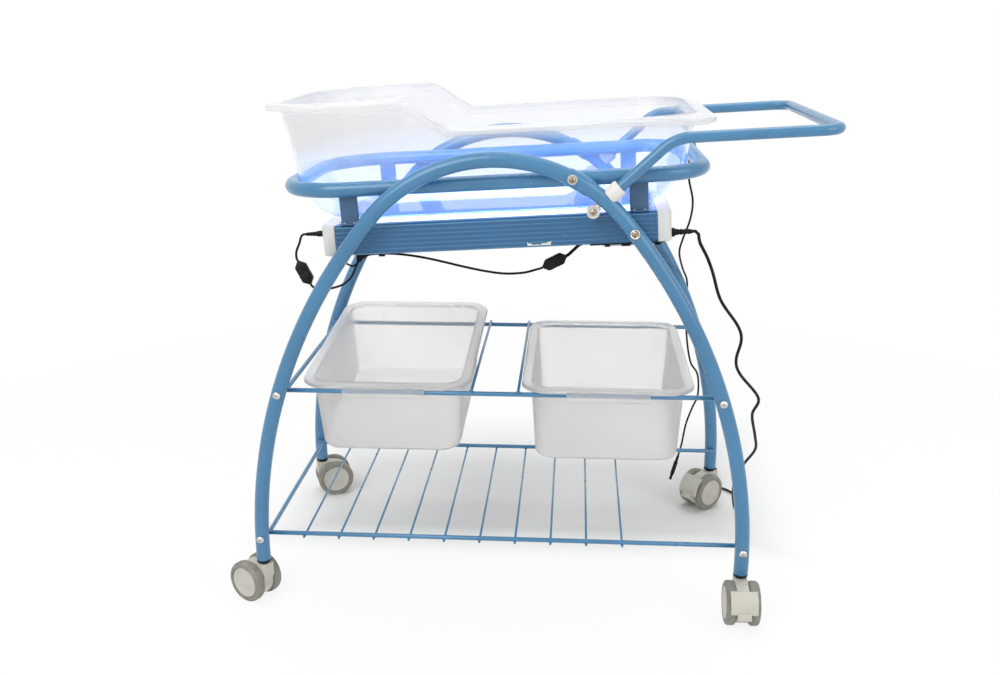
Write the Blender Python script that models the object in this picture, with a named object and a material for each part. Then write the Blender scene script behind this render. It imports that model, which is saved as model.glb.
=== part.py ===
# Infant phototherapy bed: a clear bassinet on a flat light box, carried by a tubular arch
# frame with a push handle, two wire racks with translucent bins and four twin-wheel casters.
# Metres, +Z up, +X towards the push handle, -Y towards the front.

import math

import bmesh
import bpy
from mathutils import Matrix, Vector

# Fits
FIT = 0.0003  # gap between pieces that touch
RUN = 0.0004  # gap round a turning shaft

# Arch frame: two tangent arcs, crown and leg, mirrored about X = 0
TUBE_D = 0.025
TUBE_WALL = 0.0015
TUBE_SIDES = 12
ARCH_Y = 0.224  # front and rear arches stand this far from the middle
ARCH_TOP = 0.793  # height of the crown's centre line
CROWN_R = 0.2666
CROWN_HALF = math.radians(50)
LEG_R = 0.9275
LEG_END_Z = 0.082
BELL_D = 0.0286  # widened mouth of the leg tube, which takes the arch tube's end
BELL_LAP = 0.038
BELL_TAPER = 0.008
BELL_END_GAP = 0.003  # arch tube's end to the foot of the bell
JOINT_T = math.radians(26.75)  # place of the joint screw on the crown
JOINT_INSET = 0.009  # joint screw to the bell's mouth

# Push handle
HANDLE_D = 0.0178
HANDLE_WALL = 0.0015
HANDLE_SIDES = 8
HANDLE_T = math.radians(40.2)  # where its arms meet the crown
HANDLE_ARM_ANGLE = math.radians(43)
HANDLE_ARM_LENGTH = 0.1425  # arch centre line to the bend
HANDLE_REACH = 0.2535  # bend to the cross bar
HANDLE_SLOPE = math.radians(3.2)
HANDLE_BEND_R = 0.070
HANDLE_CORNER_R = 0.030
SADDLE_D = 0.0275
SADDLE_FLOOR = 0.006
SADDLE_SOCKET = 0.013
HANDLE_BOLT_D = 0.006
HANDLE_BOLT_GRIP = 0.045
HANDLE_NUT_L = 0.012

# Screws and their plastic rings
SCREW_D = 0.004
SCREW_HEAD_D = 0.0105
SCREW_HEAD_H = 0.0036
SCREW_BITE = 0.005  # how far a rack screw goes into the rail
BOLT_D = 0.006
BOLT_HEAD_D = 0.0145
BOLT_HEAD_H = 0.0045
BOX_BOLT_BITE = 0.006
BOX_BOLT_T = math.radians(51.5)
BOSS_D = 0.016
SCREW_SIDES = 8

# Racks
RAIL_D = 0.008
WIRE_D = 0.004
ROD_D = 0.005
UPPER_RACK_Z = 0.397
LOWER_RACK_Z = 0.125
END_ROD_INSET = 0.008
RAIL_OVERHANG = 0.005  # rail past the leg's axis
WIRE_OVERHANG = 0.006
WELD = 0.0008  # depth of the welds that join the wires to the rails
LOWER_WIRE_START = -0.349
LOWER_WIRE_PITCH = 0.0628
LOWER_WIRE_COUNT = 10
UPPER_ROD_X = (-0.045, 0.034)

# Bed: light box, ring and basin share one slope
BED_TILT = math.radians(3.2)
BED_Z = 0.645  # underside of the light box at X = 0
BOX_SIDE_GAP = 0.0125  # light box to the arches, bridged by the bosses
BOX_HALF_W = ARCH_Y - TUBE_D / 2 - BOX_SIDE_GAP
BOX_H = 0.050
BOX_WALL = 0.002
BOX_X0 = -0.2655
BOX_X1 = 0.2585
BOX_CHAMFER = 0.003
BOX_LIP = 0.014
BOX_LEDGE = 0.008
GROOVE_Z = (0.009, 0.0165, 0.024, 0.0315, 0.039)
GROOVE_W = 0.0022
GROOVE_DEPTH = 0.0011
COVER_T = 0.003
CAP_L = 0.023
CAP_R = 0.013
CAP_WALL = 0.0025
TRAY_HALF_W = 0.166
TRAY_H = 0.026
TRAY_T = 0.001
TRAY_END_GAP = 0.018
STRIP_COUNT = 2
STRIP_W = 0.100
STRIP_PITCH = 0.170
STRIP_H = 0.004
PANEL_T = 0.0016
PANEL_MARGIN = 0.006
DRIVER_SIZE = (0.110, 0.060, 0.020)
CROSS_TUBE_D = 0.016
CROSS_TUBE_WALL = 0.0012

# Basin ring and its uprights
RING_TUBE_D = 0.025
RING_X0 = -0.354
RING_X1 = 0.3385
RING_SIDE_GAP = 0.003  # ring to the arches
RING_HALF_W = ARCH_Y - TUBE_D / 2 - RING_SIDE_GAP - RING_TUBE_D / 2
RING_R0 = 0.110
RING_R1 = 0.075
RING_Z = 0.1085  # centre line above the light box's underside
DRAIN_D = 0.004
UPRIGHT_X = (-0.240, 0.231)
UPRIGHT_INSET = 0.008  # upright inside the ring's centre line
UPRIGHT_Y = RING_HALF_W - UPRIGHT_INSET
UPRIGHT_W = 0.030
UPRIGHT_T = 0.004
FOOT_L = 0.010
FOOT_T = 0.003

# Basin, heights above the light box
BASIN_T = 0.004
BASIN_LOW = 0.148
BASIN_HOOD = 0.197
HOOD_END_X = -0.136
SLOPE_END_X = -0.068
BASIN_LIP = 0.009
BASIN_LIP_T = 0.003
BASIN_SEGS = 5
FLANGE_X = (-0.379, 0.361)
FLANGE_HALF_W = 0.232
FLANGE_R = (0.125, 0.110)
FLANGE_DROOP = 0.009
FLANGE_DROOP_RUN = 0.036
BASIN_RIM_X = (-0.358, 0.331)
BASIN_RIM_HALF_W = 0.200
BASIN_RIM_R = (0.100, 0.085)
BASIN_MIDDLE_X = 0.110
# outer wall from the floor up: head X, foot X, half width, head and foot radius, height
BASIN_WALL = (
    (-0.278, 0.250, 0.1460, 0.070, 0.060, 0.0),
    (-0.303, 0.273, 0.1640, 0.082, 0.070, 0.0075),
    (-0.325, 0.294, 0.1745, 0.090, 0.076, 0.0300),
    (-0.340, 0.315, 0.1775, 0.092, 0.080, 0.0585),
)

# Bins
BIN_TOP_L = 0.262
BIN_SIDE_GAP = 0.0087  # bin wall to the rails it hangs between
BIN_RIM_LAP = 0.0038  # rim past the rails' outer side
BIN_RIM_END = 0.016  # rim past the wall at the ends
BIN_TAPER_L = 0.007  # lean of each end wall, and below of each side wall
BIN_TAPER_W = 0.010
BIN_DEPTH = 0.132
BIN_T = 0.0025
BIN_RIM_H = 0.006
BIN_CORNER_R = 0.036
BIN_FOOT_ROUND = 0.009
LIP_W = 0.140
LIP_STANDOUT = 0.006  # lip past the rim
LIP_T = 0.0025
LIP_DROP = 0.012
STOP_X = 0.070
STOP_W = 0.006
STOP_REACH = 0.007
STOP_DROP = 0.033
BIN_ROD_GAP = 0.0015  # rim to the rack's middle rods
LEFT_BIN_SHIFT = 0.005  # the left bin sits back on its rear stops

# Casters
WHEEL_D = 0.076
TREAD_W = 0.0168
WHEEL_SIDES = 16
CASTER_TRAIL = 0.025
CASTER_BODY_W = 0.023
CASTER_BODY_D = 0.067
CASTER_BOSS_D = 0.024
CASTER_TOP_Z = 0.0745
STEM_D = 0.011
STEM_L = 0.022
AXLE_D = 0.006
COLLAR_FLANGE_D = 0.025
COLLAR_PLUG_D = 0.0204
COLLAR_PLUG_L = 0.022
CASTERS = (
    ("front_left", -1, -1, 150, False),
    ("front_right", 1, -1, 270, True),
    ("rear_left", -1, 1, 22, False),
    ("rear_right", 1, 1, 222, True),
)
PEDAL_W = 0.046
PEDAL_T = 0.003
PEDAL_GAP = 0.0022  # pedal to the treads
PEDAL_TOP = math.radians(57)
PEDAL_LOW = math.radians(1)
PEDAL_TAB_W = 0.023
PEDAL_TAB_L = 0.010
KNUCKLE_W = 0.018

# Cords: diameters, and routes in the frame's own coordinates
MAINS_D = 0.0055
LEAD_D = 0.004
MAINS_GLAND_INSET = 0.027  # gland and socket from the light box's front side
MAINS_GLAND_Y = -(BOX_HALF_W - MAINS_GLAND_INSET)
MAINS_GLAND_Z = 0.0092
GLAND_L = 0.034
DC_INSET = 0.049
DC_Y = -(BOX_HALF_W - DC_INSET)
DC_Z = 0.030
DC_PLUG_L = 0.038
DC_BARREL_D = 0.0055
DC_BARREL_L = 0.007
COUPLER_SIZE = (0.042, 0.019, 0.015)
MAINS_ROUTE = (
    (0.329, -0.168, 0.652),
    (0.343, -0.160, 0.626),
    (0.355, -0.150, 0.597),
    (0.373, -0.132, 0.546),
    (0.407, -0.112, 0.496),
    (0.417, -0.100, 0.466),
    (0.413, -0.082, 0.424),
    (0.424, -0.066, 0.392),
    (0.465, -0.037, 0.336),
    (0.460, -0.014, 0.295),
    (0.474, 0.020, 0.239),
    (0.482, 0.050, 0.198),
    (0.468, 0.085, 0.150),
    (0.457, 0.115, 0.100),
    (0.460, 0.138, 0.055),
    (0.468, 0.160, 0.018),
    (0.478, 0.188, 0.0045),
    (0.486, 0.218, 0.0045),
    (0.483, 0.248, 0.0045),
    (0.469, 0.272, 0.0045),
    (0.453, 0.287, 0.0045),
)
COIL_CENTRE = (0.4175, 0.322)
COIL_OUT_R = 0.0275
COIL_STEP = 0.0062
COIL_LAYER_TURNS = 2
COIL_LOOP_POINTS = 24
COIL_LEAD_OUT = 0.014
LEAD_TOP = (0.335, 0.112, 0.752)
THIN_LEAD_ROUTE = (
    (0.336, 0.113, 0.715),
    (0.346, 0.120, 0.672),
    (0.344, 0.131, 0.634),
    (0.334, 0.146, 0.595),
    (0.330, 0.166, 0.562),
    (0.341, 0.200, 0.523),
    (0.355, 0.236, 0.488),
    (0.358, 0.250, 0.444),
    (0.359, 0.250, 0.395),
    (0.364, 0.250, 0.346),
    (0.373, 0.250, 0.306),
    (0.388, 0.250, 0.281),
    (0.391, 0.250, 0.236),
    (0.380, 0.250, 0.204),
    (0.369, 0.250, 0.168),
    (0.362, 0.250, 0.122),
    (0.357, 0.250, 0.099),
)
CONNECTOR_D = 0.0085
CONNECTOR_FALL = (-0.26, -0.03, -0.96)
CONNECTOR_L = 0.058
DC_A_ROUTE = (
    (-0.3405, -0.1525, 0.640),
    (-0.3455, -0.155, 0.627),
    (-0.345, -0.1575, 0.6165),
)
COUPLER_A = ((-0.342, -0.159, 0.611), (-0.322, -0.166, 0.576))
DC_B_ROUTE = (
    (-0.313, -0.164, 0.566),
    (-0.302, -0.155, 0.562),
    (-0.287, -0.147, 0.563),
    (-0.270, -0.146, 0.569),
    (-0.256, -0.150, 0.581),
    (-0.247, -0.155, 0.596),
    (-0.238, -0.159, 0.613),
    (-0.222, -0.162, 0.6245),
    (-0.200, -0.163, 0.6275),
    (-0.172, -0.164, 0.6275),
    (-0.144, -0.162, 0.624),
    (-0.118, -0.152, 0.617),
    (-0.090, -0.145, 0.609),
    (-0.060, -0.141, 0.601),
    (-0.026, -0.140, 0.594),
    (0.008, -0.140, 0.590),
    (0.040, -0.140, 0.592),
    (0.062, -0.140, 0.598),
)
COUPLER_B = ((0.073, -0.140, 0.602), (0.110, -0.140, 0.621))
CLIP_X = -0.200
CLIP_W = 0.010
CLIP_WALL = 0.0016
TAIL_ROUTE = ((0.1215, -0.141, 0.6305), (0.1315, -0.143, 0.6405))
TAIL_D = 0.0055
TAIL_X = 0.1395
TAIL_Y = -0.1445
PLUG_L = 0.034
PIN_L = 0.018
PIN_D = 0.004
PIN_PITCH = 0.0124

NODES = []
CORD_NODES = []


def clear_scene():
    for thing in list(bpy.data.objects):
        bpy.data.objects.remove(thing, do_unlink=True)


def finish_material(name, colour, roughness, metallic=0.0, alpha=1.0):
    made = bpy.data.materials.new(name)
    made.use_nodes = True
    shader = made.node_tree.nodes["Principled BSDF"]
    shader.inputs["Base Color"].default_value = (*colour, 1.0)
    shader.inputs["Roughness"].default_value = roughness
    shader.inputs["Metallic"].default_value = metallic
    shader.inputs["Alpha"].default_value = alpha
    return made


def add_empty(name, parent=None, location=(0, 0, 0), turn=(0, 0, 0)):
    made = bpy.data.objects.new(name, None)
    bpy.context.scene.collection.objects.link(made)
    made.parent = parent
    made.location = location
    made.rotation_euler = turn
    return made


def add_object(name, bm, finish, parent, cord=False):
    """Closes the mesh, turns its faces outwards and makes it a node."""
    bmesh.ops.remove_doubles(bm, verts=bm.verts, dist=1e-6)
    bmesh.ops.recalc_face_normals(bm, faces=bm.faces)
    mesh = bpy.data.meshes.new(name)
    bm.to_mesh(mesh)
    bm.free()
    mesh.shade_smooth()
    mesh.set_sharp_from_angle(angle=math.radians(40))
    mesh.materials.append(finish)
    made = bpy.data.objects.new(name, mesh)
    bpy.context.scene.collection.objects.link(made)
    made.parent = parent
    NODES.append(made)
    if cord:
        CORD_NODES.append(made)
    return made


def boolean(target, bm, operation, parent):
    """Cuts or joins the shapes in bm, which stay in the scene as a hidden helper."""
    bmesh.ops.remove_doubles(bm, verts=bm.verts, dist=1e-6)
    bmesh.ops.recalc_face_normals(bm, faces=bm.faces)
    mesh = bpy.data.meshes.new(target.name + "_helper")
    bm.to_mesh(mesh)
    bm.free()
    helper = bpy.data.objects.new(mesh.name, mesh)
    bpy.context.scene.collection.objects.link(helper)
    helper.parent = parent
    helper.hide_render = True
    helper.display_type = "WIRE"
    step = target.modifiers.new(operation.lower(), "BOOLEAN")
    step.operation = operation
    step.solver = "EXACT"
    step.object = helper


def turned(bm, profile, origin, axis, sides, facing=None, round_out=False, closed=False):
    """Spins a profile of (radius, height) points; facing is where a flat facet looks."""
    axis = Vector(axis).normalized()
    origin = Vector(origin)
    side = Vector(facing) if facing else axis.orthogonal()
    side = (side - axis * side.dot(axis)).normalized()
    start = Matrix.Rotation(math.pi / sides, 3, axis) @ side
    grow = 1 / math.cos(math.pi / sides) if round_out else 1
    points = [bm.verts.new(origin + start * (r * grow) + axis * h) for r, h in profile]
    edges = [bm.edges.new(pair) for pair in zip(points, points[1:])]
    if closed:
        edges.append(bm.edges.new((points[-1], points[0])))
    bmesh.ops.spin(
        bm, geom=points + edges, cent=origin, axis=axis, angle=math.tau, steps=sides, use_merge=True
    )


def bar(bm, start, end, diameter, sides, facing=None, round_out=False):
    """A straight round bar between two points."""
    start = Vector(start)
    run = Vector(end) - start
    r = diameter / 2
    profile = ((0, 0), (r, 0), (r, run.length), (0, run.length))
    turned(bm, profile, start, run, sides, facing, round_out)


def prism(bm, outline, depth):
    """Extrudes a closed outline of 3-D points by a vector."""
    face = bm.faces.new([bm.verts.new(point) for point in outline])
    made = bmesh.ops.extrude_face_region(bm, geom=[face])["geom"]
    moved = [item for item in made if isinstance(item, bmesh.types.BMVert)]
    bmesh.ops.translate(bm, verts=moved, vec=depth)


def block(bm, low, high):
    """A box between two corners."""
    x0, y0, z0 = low
    x1, y1, z1 = high
    outline = ((x0, y0, z0), (x1, y0, z0), (x1, y1, z0), (x0, y1, z0))
    prism(bm, outline, (0, 0, z1 - z0))


def arc(centre, radius, start, end, steps):
    """Points of an arc in a plane, both ends included."""
    turns = [start + (end - start) * i / steps for i in range(steps + 1)]
    return [(centre[0] + radius * math.cos(a), centre[1] + radius * math.sin(a)) for a in turns]


def rounded(corners, radii, steps):
    """A path through corners, each rounded to its radius; the ends stay sharp."""
    path = [Vector(corners[0])]
    for before, at, after, radius in zip(corners, corners[1:], corners[2:], radii):
        at = Vector(at)
        back = (Vector(before) - at).normalized()
        ahead = (Vector(after) - at).normalized()
        half = back.angle(ahead) / 2
        inward = (back + ahead).normalized()
        centre = at + inward * (radius / math.sin(half))
        first = at + back * (radius / math.tan(half)) - centre
        turn = math.pi - 2 * half
        axis = ahead.cross(back).normalized()
        for i in range(steps + 1):
            path.append(centre + Matrix.Rotation(turn * i / steps, 3, axis) @ first)
    path.append(Vector(corners[-1]))
    return path


def sweep(bm, path, outer, sides, facing, inner=None, closed=False):
    """A tube along a path; outer and inner give the radius at each point."""
    count = len(path)
    ahead = [(path[(i + 1) % count] - path[i]).normalized() for i in range(count)]
    rings = []
    normal = Vector(facing)
    for i, point in enumerate(path):
        if closed or 0 < i < count - 1:
            along = (ahead[i - 1] + ahead[i]).normalized()
        else:
            along = ahead[0] if i == 0 else ahead[count - 2]
        normal = (normal - along * normal.dot(along)).normalized()
        across = along.cross(normal)
        grow = 1 / math.cos(math.pi / sides)
        for kind, radii in enumerate((outer, inner)):
            if radii is None:
                continue
            turns = [(k + 0.5) * math.tau / sides for k in range(sides)]
            ring = [normal * math.cos(a) + across * math.sin(a) for a in turns]
            rings.append((kind, [bm.verts.new(point + v * (radii[i] * grow)) for v in ring]))
    shells = [[ring for kind, ring in rings if kind == wanted] for wanted in (0, 1)]
    for shell in shells:
        for i in range(len(shell) - (0 if closed else 1)):
            first = shell[i]
            second = shell[(i + 1) % len(shell)]
            for k in range(sides):
                after = (k + 1) % sides
                bm.faces.new((first[k], first[after], second[after], second[k]))
    if closed:
        return
    for end in (0, -1):
        if inner is None:
            bm.faces.new(shells[0][end])
            continue
        for k in range(sides):
            after = (k + 1) % sides
            wide = shells[0][end]
            narrow = shells[1][end]
            bm.faces.new((wide[k], wide[after], narrow[after], narrow[k]))


def loft(bm, rings):
    """Skins closed rings of equal count and fills the first and the last."""
    levels = [[bm.verts.new(point) for point in ring] for ring in rings]
    for low, high in zip(levels, levels[1:]):
        for k in range(len(low)):
            bm.faces.new((low[k - 1], low[k], high[k], high[k - 1]))
    bm.faces.new(levels[0])
    bm.faces.new(levels[-1])


def leg_centre():
    reach = CROWN_R - LEG_R
    return reach * math.sin(CROWN_HALF), ARCH_TOP - CROWN_R + reach * math.cos(CROWN_HALF)


def arch_point(turn):
    """X and Z of the arch's centre line; turn runs from the crown's middle."""
    size = abs(turn)
    if size <= CROWN_HALF:
        x = CROWN_R * math.sin(size)
        z = ARCH_TOP - CROWN_R + CROWN_R * math.cos(size)
    else:
        x = leg_centre()[0] + LEG_R * math.sin(size)
        z = leg_centre()[1] + LEG_R * math.cos(size)
    return math.copysign(x, turn), z


def leg_turn(height):
    return math.acos((height - leg_centre()[1]) / LEG_R)


def arch_path(start, end, y, stops=()):
    """Points along the arch, finer on the crown than on the legs."""
    marks = sorted({start, end, *stops, *(m for m in (-CROWN_HALF, CROWN_HALF) if start < m < end)})
    turns = [start]
    for low, high in zip(marks, marks[1:]):
        on_crown = abs(low + high) / 2 < CROWN_HALF
        step = math.radians(9.5 if on_crown else 6.8)
        parts = max(1, round((high - low) / step))
        turns += [low + (high - low) * (i + 1) / parts for i in range(parts)]
    path = []
    for turn in turns:
        x, z = arch_point(turn)
        path.append(Vector((x, y, z)))
    return path, turns


def tube_r():
    return TUBE_D / 2


def rail_y():
    return ARCH_Y - tube_r() - RAIL_D / 2 - FIT


def rail_top(height):
    return height + RAIL_D / 2


def foot_x():
    return arch_point(leg_turn(LEG_END_Z))[0]


def bed_point(x, y, z):
    """A point of the sloping bed in the frame's coordinates."""
    sin = math.sin(BED_TILT)
    cos = math.cos(BED_TILT)
    return Vector((x * cos - z * sin, y, BED_Z + x * sin + z * cos))


def cross_tube_turn():
    """Where the left legs meet the height at which the cross tube touches the light box."""
    low = CROWN_HALF
    high = leg_turn(LEG_END_Z)
    drop = (CROSS_TUBE_D / 2 + FIT) / math.cos(BED_TILT)
    for _ in range(50):
        middle = (low + high) / 2
        x, z = arch_point(middle)
        if z > BED_Z - x * math.tan(BED_TILT) - drop:
            low = middle
        else:
            high = middle
    return low


def handle_foot(side):
    """Where an arm's line crosses the arch's centre line, and the arm's direction."""
    x, z = arch_point(HANDLE_T)
    along = Vector((math.cos(HANDLE_ARM_ANGLE), 0, math.sin(HANDLE_ARM_ANGLE)))
    return Vector((x, side * ARCH_Y, z)), along


def hole(bm, start, end, diameter):
    bar(bm, start, end, diameter + 2 * FIT, 6, round_out=True)


def screw(bm, seat, out, shank_d, shank_l, head_d, head_h):
    """A domed screw whose head sits at seat and looks along out."""
    shoulder = (head_d / 2 * math.sin(0.9), head_h * math.cos(0.9))
    profile = [(0, head_h), shoulder, (head_d / 2, 0)]
    profile += [(shank_d / 2, 0), (shank_d / 2, -shank_l), (0, -shank_l)]
    turned(bm, profile, seat, out, SCREW_SIDES)


def build_arches(root, blue):
    """Front and rear arch tubes, their leg tubes, and the holes for every screw."""
    mouth = JOINT_T - JOINT_INSET / CROWN_R
    lap_end = mouth + BELL_LAP / CROWN_R
    bell_end = lap_end + BELL_TAPER / CROWN_R
    foot = leg_turn(LEG_END_Z)
    inner_r = tube_r() - TUBE_WALL
    bell_r = BELL_D / 2
    bell_bore = tube_r() + FIT
    for name, side in (("front", -1), ("rear", 1)):
        y = side * ARCH_Y
        out = Vector((0, side, 0))
        path, turns = arch_path(-foot, lap_end - BELL_END_GAP / CROWN_R, y, (mouth,))
        bm = bmesh.new()
        ones = [1.0] * len(path)
        sweep(bm, path, [tube_r() * k for k in ones], TUBE_SIDES, out, [inner_r * k for k in ones])
        arch = add_object(name + "_arch_tube", bm, blue, root)
        path, turns = arch_path(mouth, foot, y, (lap_end, bell_end))
        wide = [bell_r if t <= lap_end + 1e-6 else tube_r() for t in turns]
        bore = [bell_bore if t <= lap_end + 1e-6 else inner_r for t in turns]
        bm = bmesh.new()
        sweep(bm, path, wide, TUBE_SIDES, out, bore)
        leg = add_object(name + "_leg_tube", bm, blue, root)
        reach = TUBE_D
        for tube, sign in ((arch, -1), (leg, 1)):
            bm = bmesh.new()
            for height in (UPPER_RACK_Z, LOWER_RACK_Z):
                x = sign * arch_point(leg_turn(height))[0]
                middle = Vector((x, y, height))
                hole(bm, middle - out * reach, middle + out * reach, SCREW_D)
            x, z = arch_point(JOINT_T)
            hole(bm, (x, y, z), Vector((x, y, z)) + out * reach, SCREW_D)
            if tube is leg:
                x, z = arch_point(BOX_BOLT_T)
                middle = Vector((x, y, z))
                hole(bm, middle - out * reach, middle + out * reach, BOLT_D)
                middle, along = handle_foot(side)
                hole(bm, middle - along * reach, middle + along * reach, HANDLE_BOLT_D)
            boolean(tube, bm, "DIFFERENCE", root)


def build_cross_tube(root, blue):
    x, z = arch_point(cross_tube_turn())
    end = ARCH_Y - tube_r() - FIT
    path = [Vector((-x, -end, z)), Vector((-x, end, z))]
    bm = bmesh.new()
    r = CROSS_TUBE_D / 2
    sweep(bm, path, [r, r], TUBE_SIDES, (0, 0, 1), [r - CROSS_TUBE_WALL] * 2)
    add_object("bed_cross_tube", bm, blue, root)


def build_handle(root, blue, white, steel):
    """Push handle, the saddles under its arms, and the bolts that pull them together."""
    floor = tube_r() + SADDLE_FLOOR
    foot, along = handle_foot(-1)
    bend = foot + along * HANDLE_ARM_LENGTH
    ahead = Vector((math.cos(HANDLE_SLOPE), 0, math.sin(HANDLE_SLOPE)))
    corner = bend + ahead * HANDLE_REACH
    front = [foot + along * (floor + FIT), bend, corner]
    rear = [Vector((p.x, -p.y, p.z)) for p in reversed(front)]
    radii = (HANDLE_BEND_R, HANDLE_CORNER_R, HANDLE_CORNER_R, HANDLE_BEND_R)
    path = rounded(front + rear, radii, 4)
    bm = bmesh.new()
    r = HANDLE_D / 2
    ones = [1.0] * len(path)
    sweep(bm, path, [r * k for k in ones], HANDLE_SIDES, (0, 1, 0), [(r - HANDLE_WALL) * k for k in ones])
    add_object("push_handle", bm, blue, root)

    for name, side in (("front", -1), ("rear", 1)):
        build_saddle(name, root, side, white, steel)


def build_saddle(name, root, side, white, steel):
    """Plastic saddle between arch and handle arm, and the bolt that pulls them together."""
    foot, along = handle_foot(side)
    floor = tube_r() + SADDLE_FLOOR
    top = floor + SADDLE_SOCKET
    low = tube_r() * 0.62
    r = SADDLE_D / 2
    bm = bmesh.new()
    profile = ((0, low), (r, low), (r, top - 0.002), (r - 0.0015, top), (0, top))
    turned(bm, profile, foot, along, 12, facing=(0, 1, 0), round_out=True)
    saddle = add_object(name + "_handle_saddle", bm, white, root)
    # the arch bends inside the saddle's length, so its seat is cut a little wider
    seat_d = TUBE_D + 2 * FIT + SADDLE_D ** 2 / (4 * CROWN_R)
    tangent = Vector((math.cos(HANDLE_T), 0, -math.sin(HANDLE_T))) * SADDLE_D
    bm = bmesh.new()
    bar(bm, foot - tangent, foot + tangent, seat_d, 12, (0, 1, 0), True)
    boolean(saddle, bm, "DIFFERENCE", root)
    bm = bmesh.new()
    socket_d = HANDLE_D / math.cos(math.pi / HANDLE_SIDES) + 2 * FIT
    bar(bm, foot + along * floor, foot + along * (top + 0.01), socket_d, 12, None, True)
    boolean(saddle, bm, "DIFFERENCE", root)
    bm = bmesh.new()
    hole(bm, foot, foot + along * (floor + 0.005), HANDLE_BOLT_D)
    boolean(saddle, bm, "DIFFERENCE", root)

    # the arm isn't quite square to the arch, so the bolt's head stands off by its lean
    lean = BOLT_HEAD_D / 2 * math.tan(abs(math.pi / 2 - HANDLE_T - HANDLE_ARM_ANGLE))
    lean += BOLT_HEAD_D ** 2 / (8 * (CROWN_R - tube_r()))
    head = -(tube_r() / math.cos(math.pi / TUBE_SIDES) + FIT + lean)
    nut = HANDLE_D / 2 - HANDLE_WALL - FIT
    shank = HANDLE_BOLT_D / 2
    grip = floor + HANDLE_BOLT_GRIP
    profile = (
        (0, head - BOLT_HEAD_H),
        (BOLT_HEAD_D * 0.36, head - BOLT_HEAD_H * 0.9),
        (BOLT_HEAD_D / 2, head - BOLT_HEAD_H * 0.35),
        (BOLT_HEAD_D / 2, head),
        (shank, head),
        (shank, grip - HANDLE_NUT_L),
        (nut, grip - HANDLE_NUT_L),
        (nut, grip),
        (0, grip),
    )
    bm = bmesh.new()
    turned(bm, profile, foot, along, SCREW_SIDES)
    add_object(name + "_handle_bolt", bm, steel, root)


def build_frame_screws(root, steel):
    """Rack screws through the legs into the rails, and the bolts that carry the light box."""
    for depth, side in (("front", -1), ("rear", 1)):
        out = Vector((0, side, 0))
        face = side * (ARCH_Y + tube_r() + FIT)
        for level, height in (("upper", UPPER_RACK_Z), ("lower", LOWER_RACK_Z)):
            for hand, sign in (("left", -1), ("right", 1)):
                x = sign * arch_point(leg_turn(height))[0]
                bite = TUBE_D + 2 * FIT + SCREW_BITE
                bm = bmesh.new()
                screw(bm, (x, face, height), out, SCREW_D, bite, SCREW_HEAD_D, SCREW_HEAD_H)
                add_object(f"{level}_rack_{depth}_{hand}_screw", bm, steel, root)
        x, z = arch_point(BOX_BOLT_T)
        length = abs(face) - BOX_HALF_W + BOX_WALL + BOX_BOLT_BITE
        bm = bmesh.new()
        screw(bm, (x, face, z), out, BOLT_D, length, BOLT_HEAD_D, BOLT_HEAD_H)
        add_object(depth + "_box_bolt", bm, steel, root)


def build_rack(name, root, blue, height, cross_d, cross_x, on_top):
    """Two rails between the legs, a left end rod and cross wires, welded together."""
    y = rail_y()
    leg_x = arch_point(leg_turn(height))[0]
    rails = bmesh.new()
    end = leg_x + RAIL_OVERHANG
    for side in (-1, 1):
        bar(rails, (-end, side * y, height), (end, side * y, height), RAIL_D, 8, (0, 0, 1), True)
    rack = add_object(name, rails, blue, root)
    cross = bmesh.new()
    left = -(leg_x - END_ROD_INSET)
    bar(cross, (left, -y, height), (left, y, height), RAIL_D * 0.98, 8, (0, 0, 1), True)
    offset = RAIL_D / 2 + cross_d / 2 - WELD
    level = height + offset if on_top else height - offset
    reach = y + WIRE_OVERHANG
    for x in cross_x:
        bar(cross, (x, -reach, level), (x, reach, level), cross_d, 6, (0, 0, 1), True)
    boolean(rack, cross, "UNION", root)
    taps = bmesh.new()
    for side in (-1, 1):
        for x in (-leg_x, leg_x):
            face = side * (y + RAIL_D / 2)
            deep = face - side * (SCREW_BITE + FIT)
            hole(taps, (x, face + side * 0.002, height), (x, deep, height), SCREW_D)
    boolean(rack, taps, "DIFFERENCE", root)


def box_profile():
    """Half of the light box's extrusion, from the bottom middle round to the inside middle."""
    w = BOX_HALF_W
    c = BOX_CHAMFER
    ledge_z = BOX_H - COVER_T - FIT
    under_z = ledge_z - BOX_WALL
    lip_y = w - BOX_LIP
    points = [(w - c, 0), (w, c)]
    for z in GROOVE_Z:
        half = GROOVE_W / 2
        points += [(w, z - half), (w - GROOVE_DEPTH, z), (w, z + half)]
    points += [(w, BOX_H - c), (w - c, BOX_H), (lip_y, BOX_H), (lip_y, ledge_z)]
    points += [(lip_y - BOX_LEDGE, ledge_z), (lip_y - BOX_LEDGE, under_z)]
    points += [(w - BOX_WALL - GROOVE_DEPTH, under_z), (w - BOX_WALL - GROOVE_DEPTH, BOX_WALL)]
    return points


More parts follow.
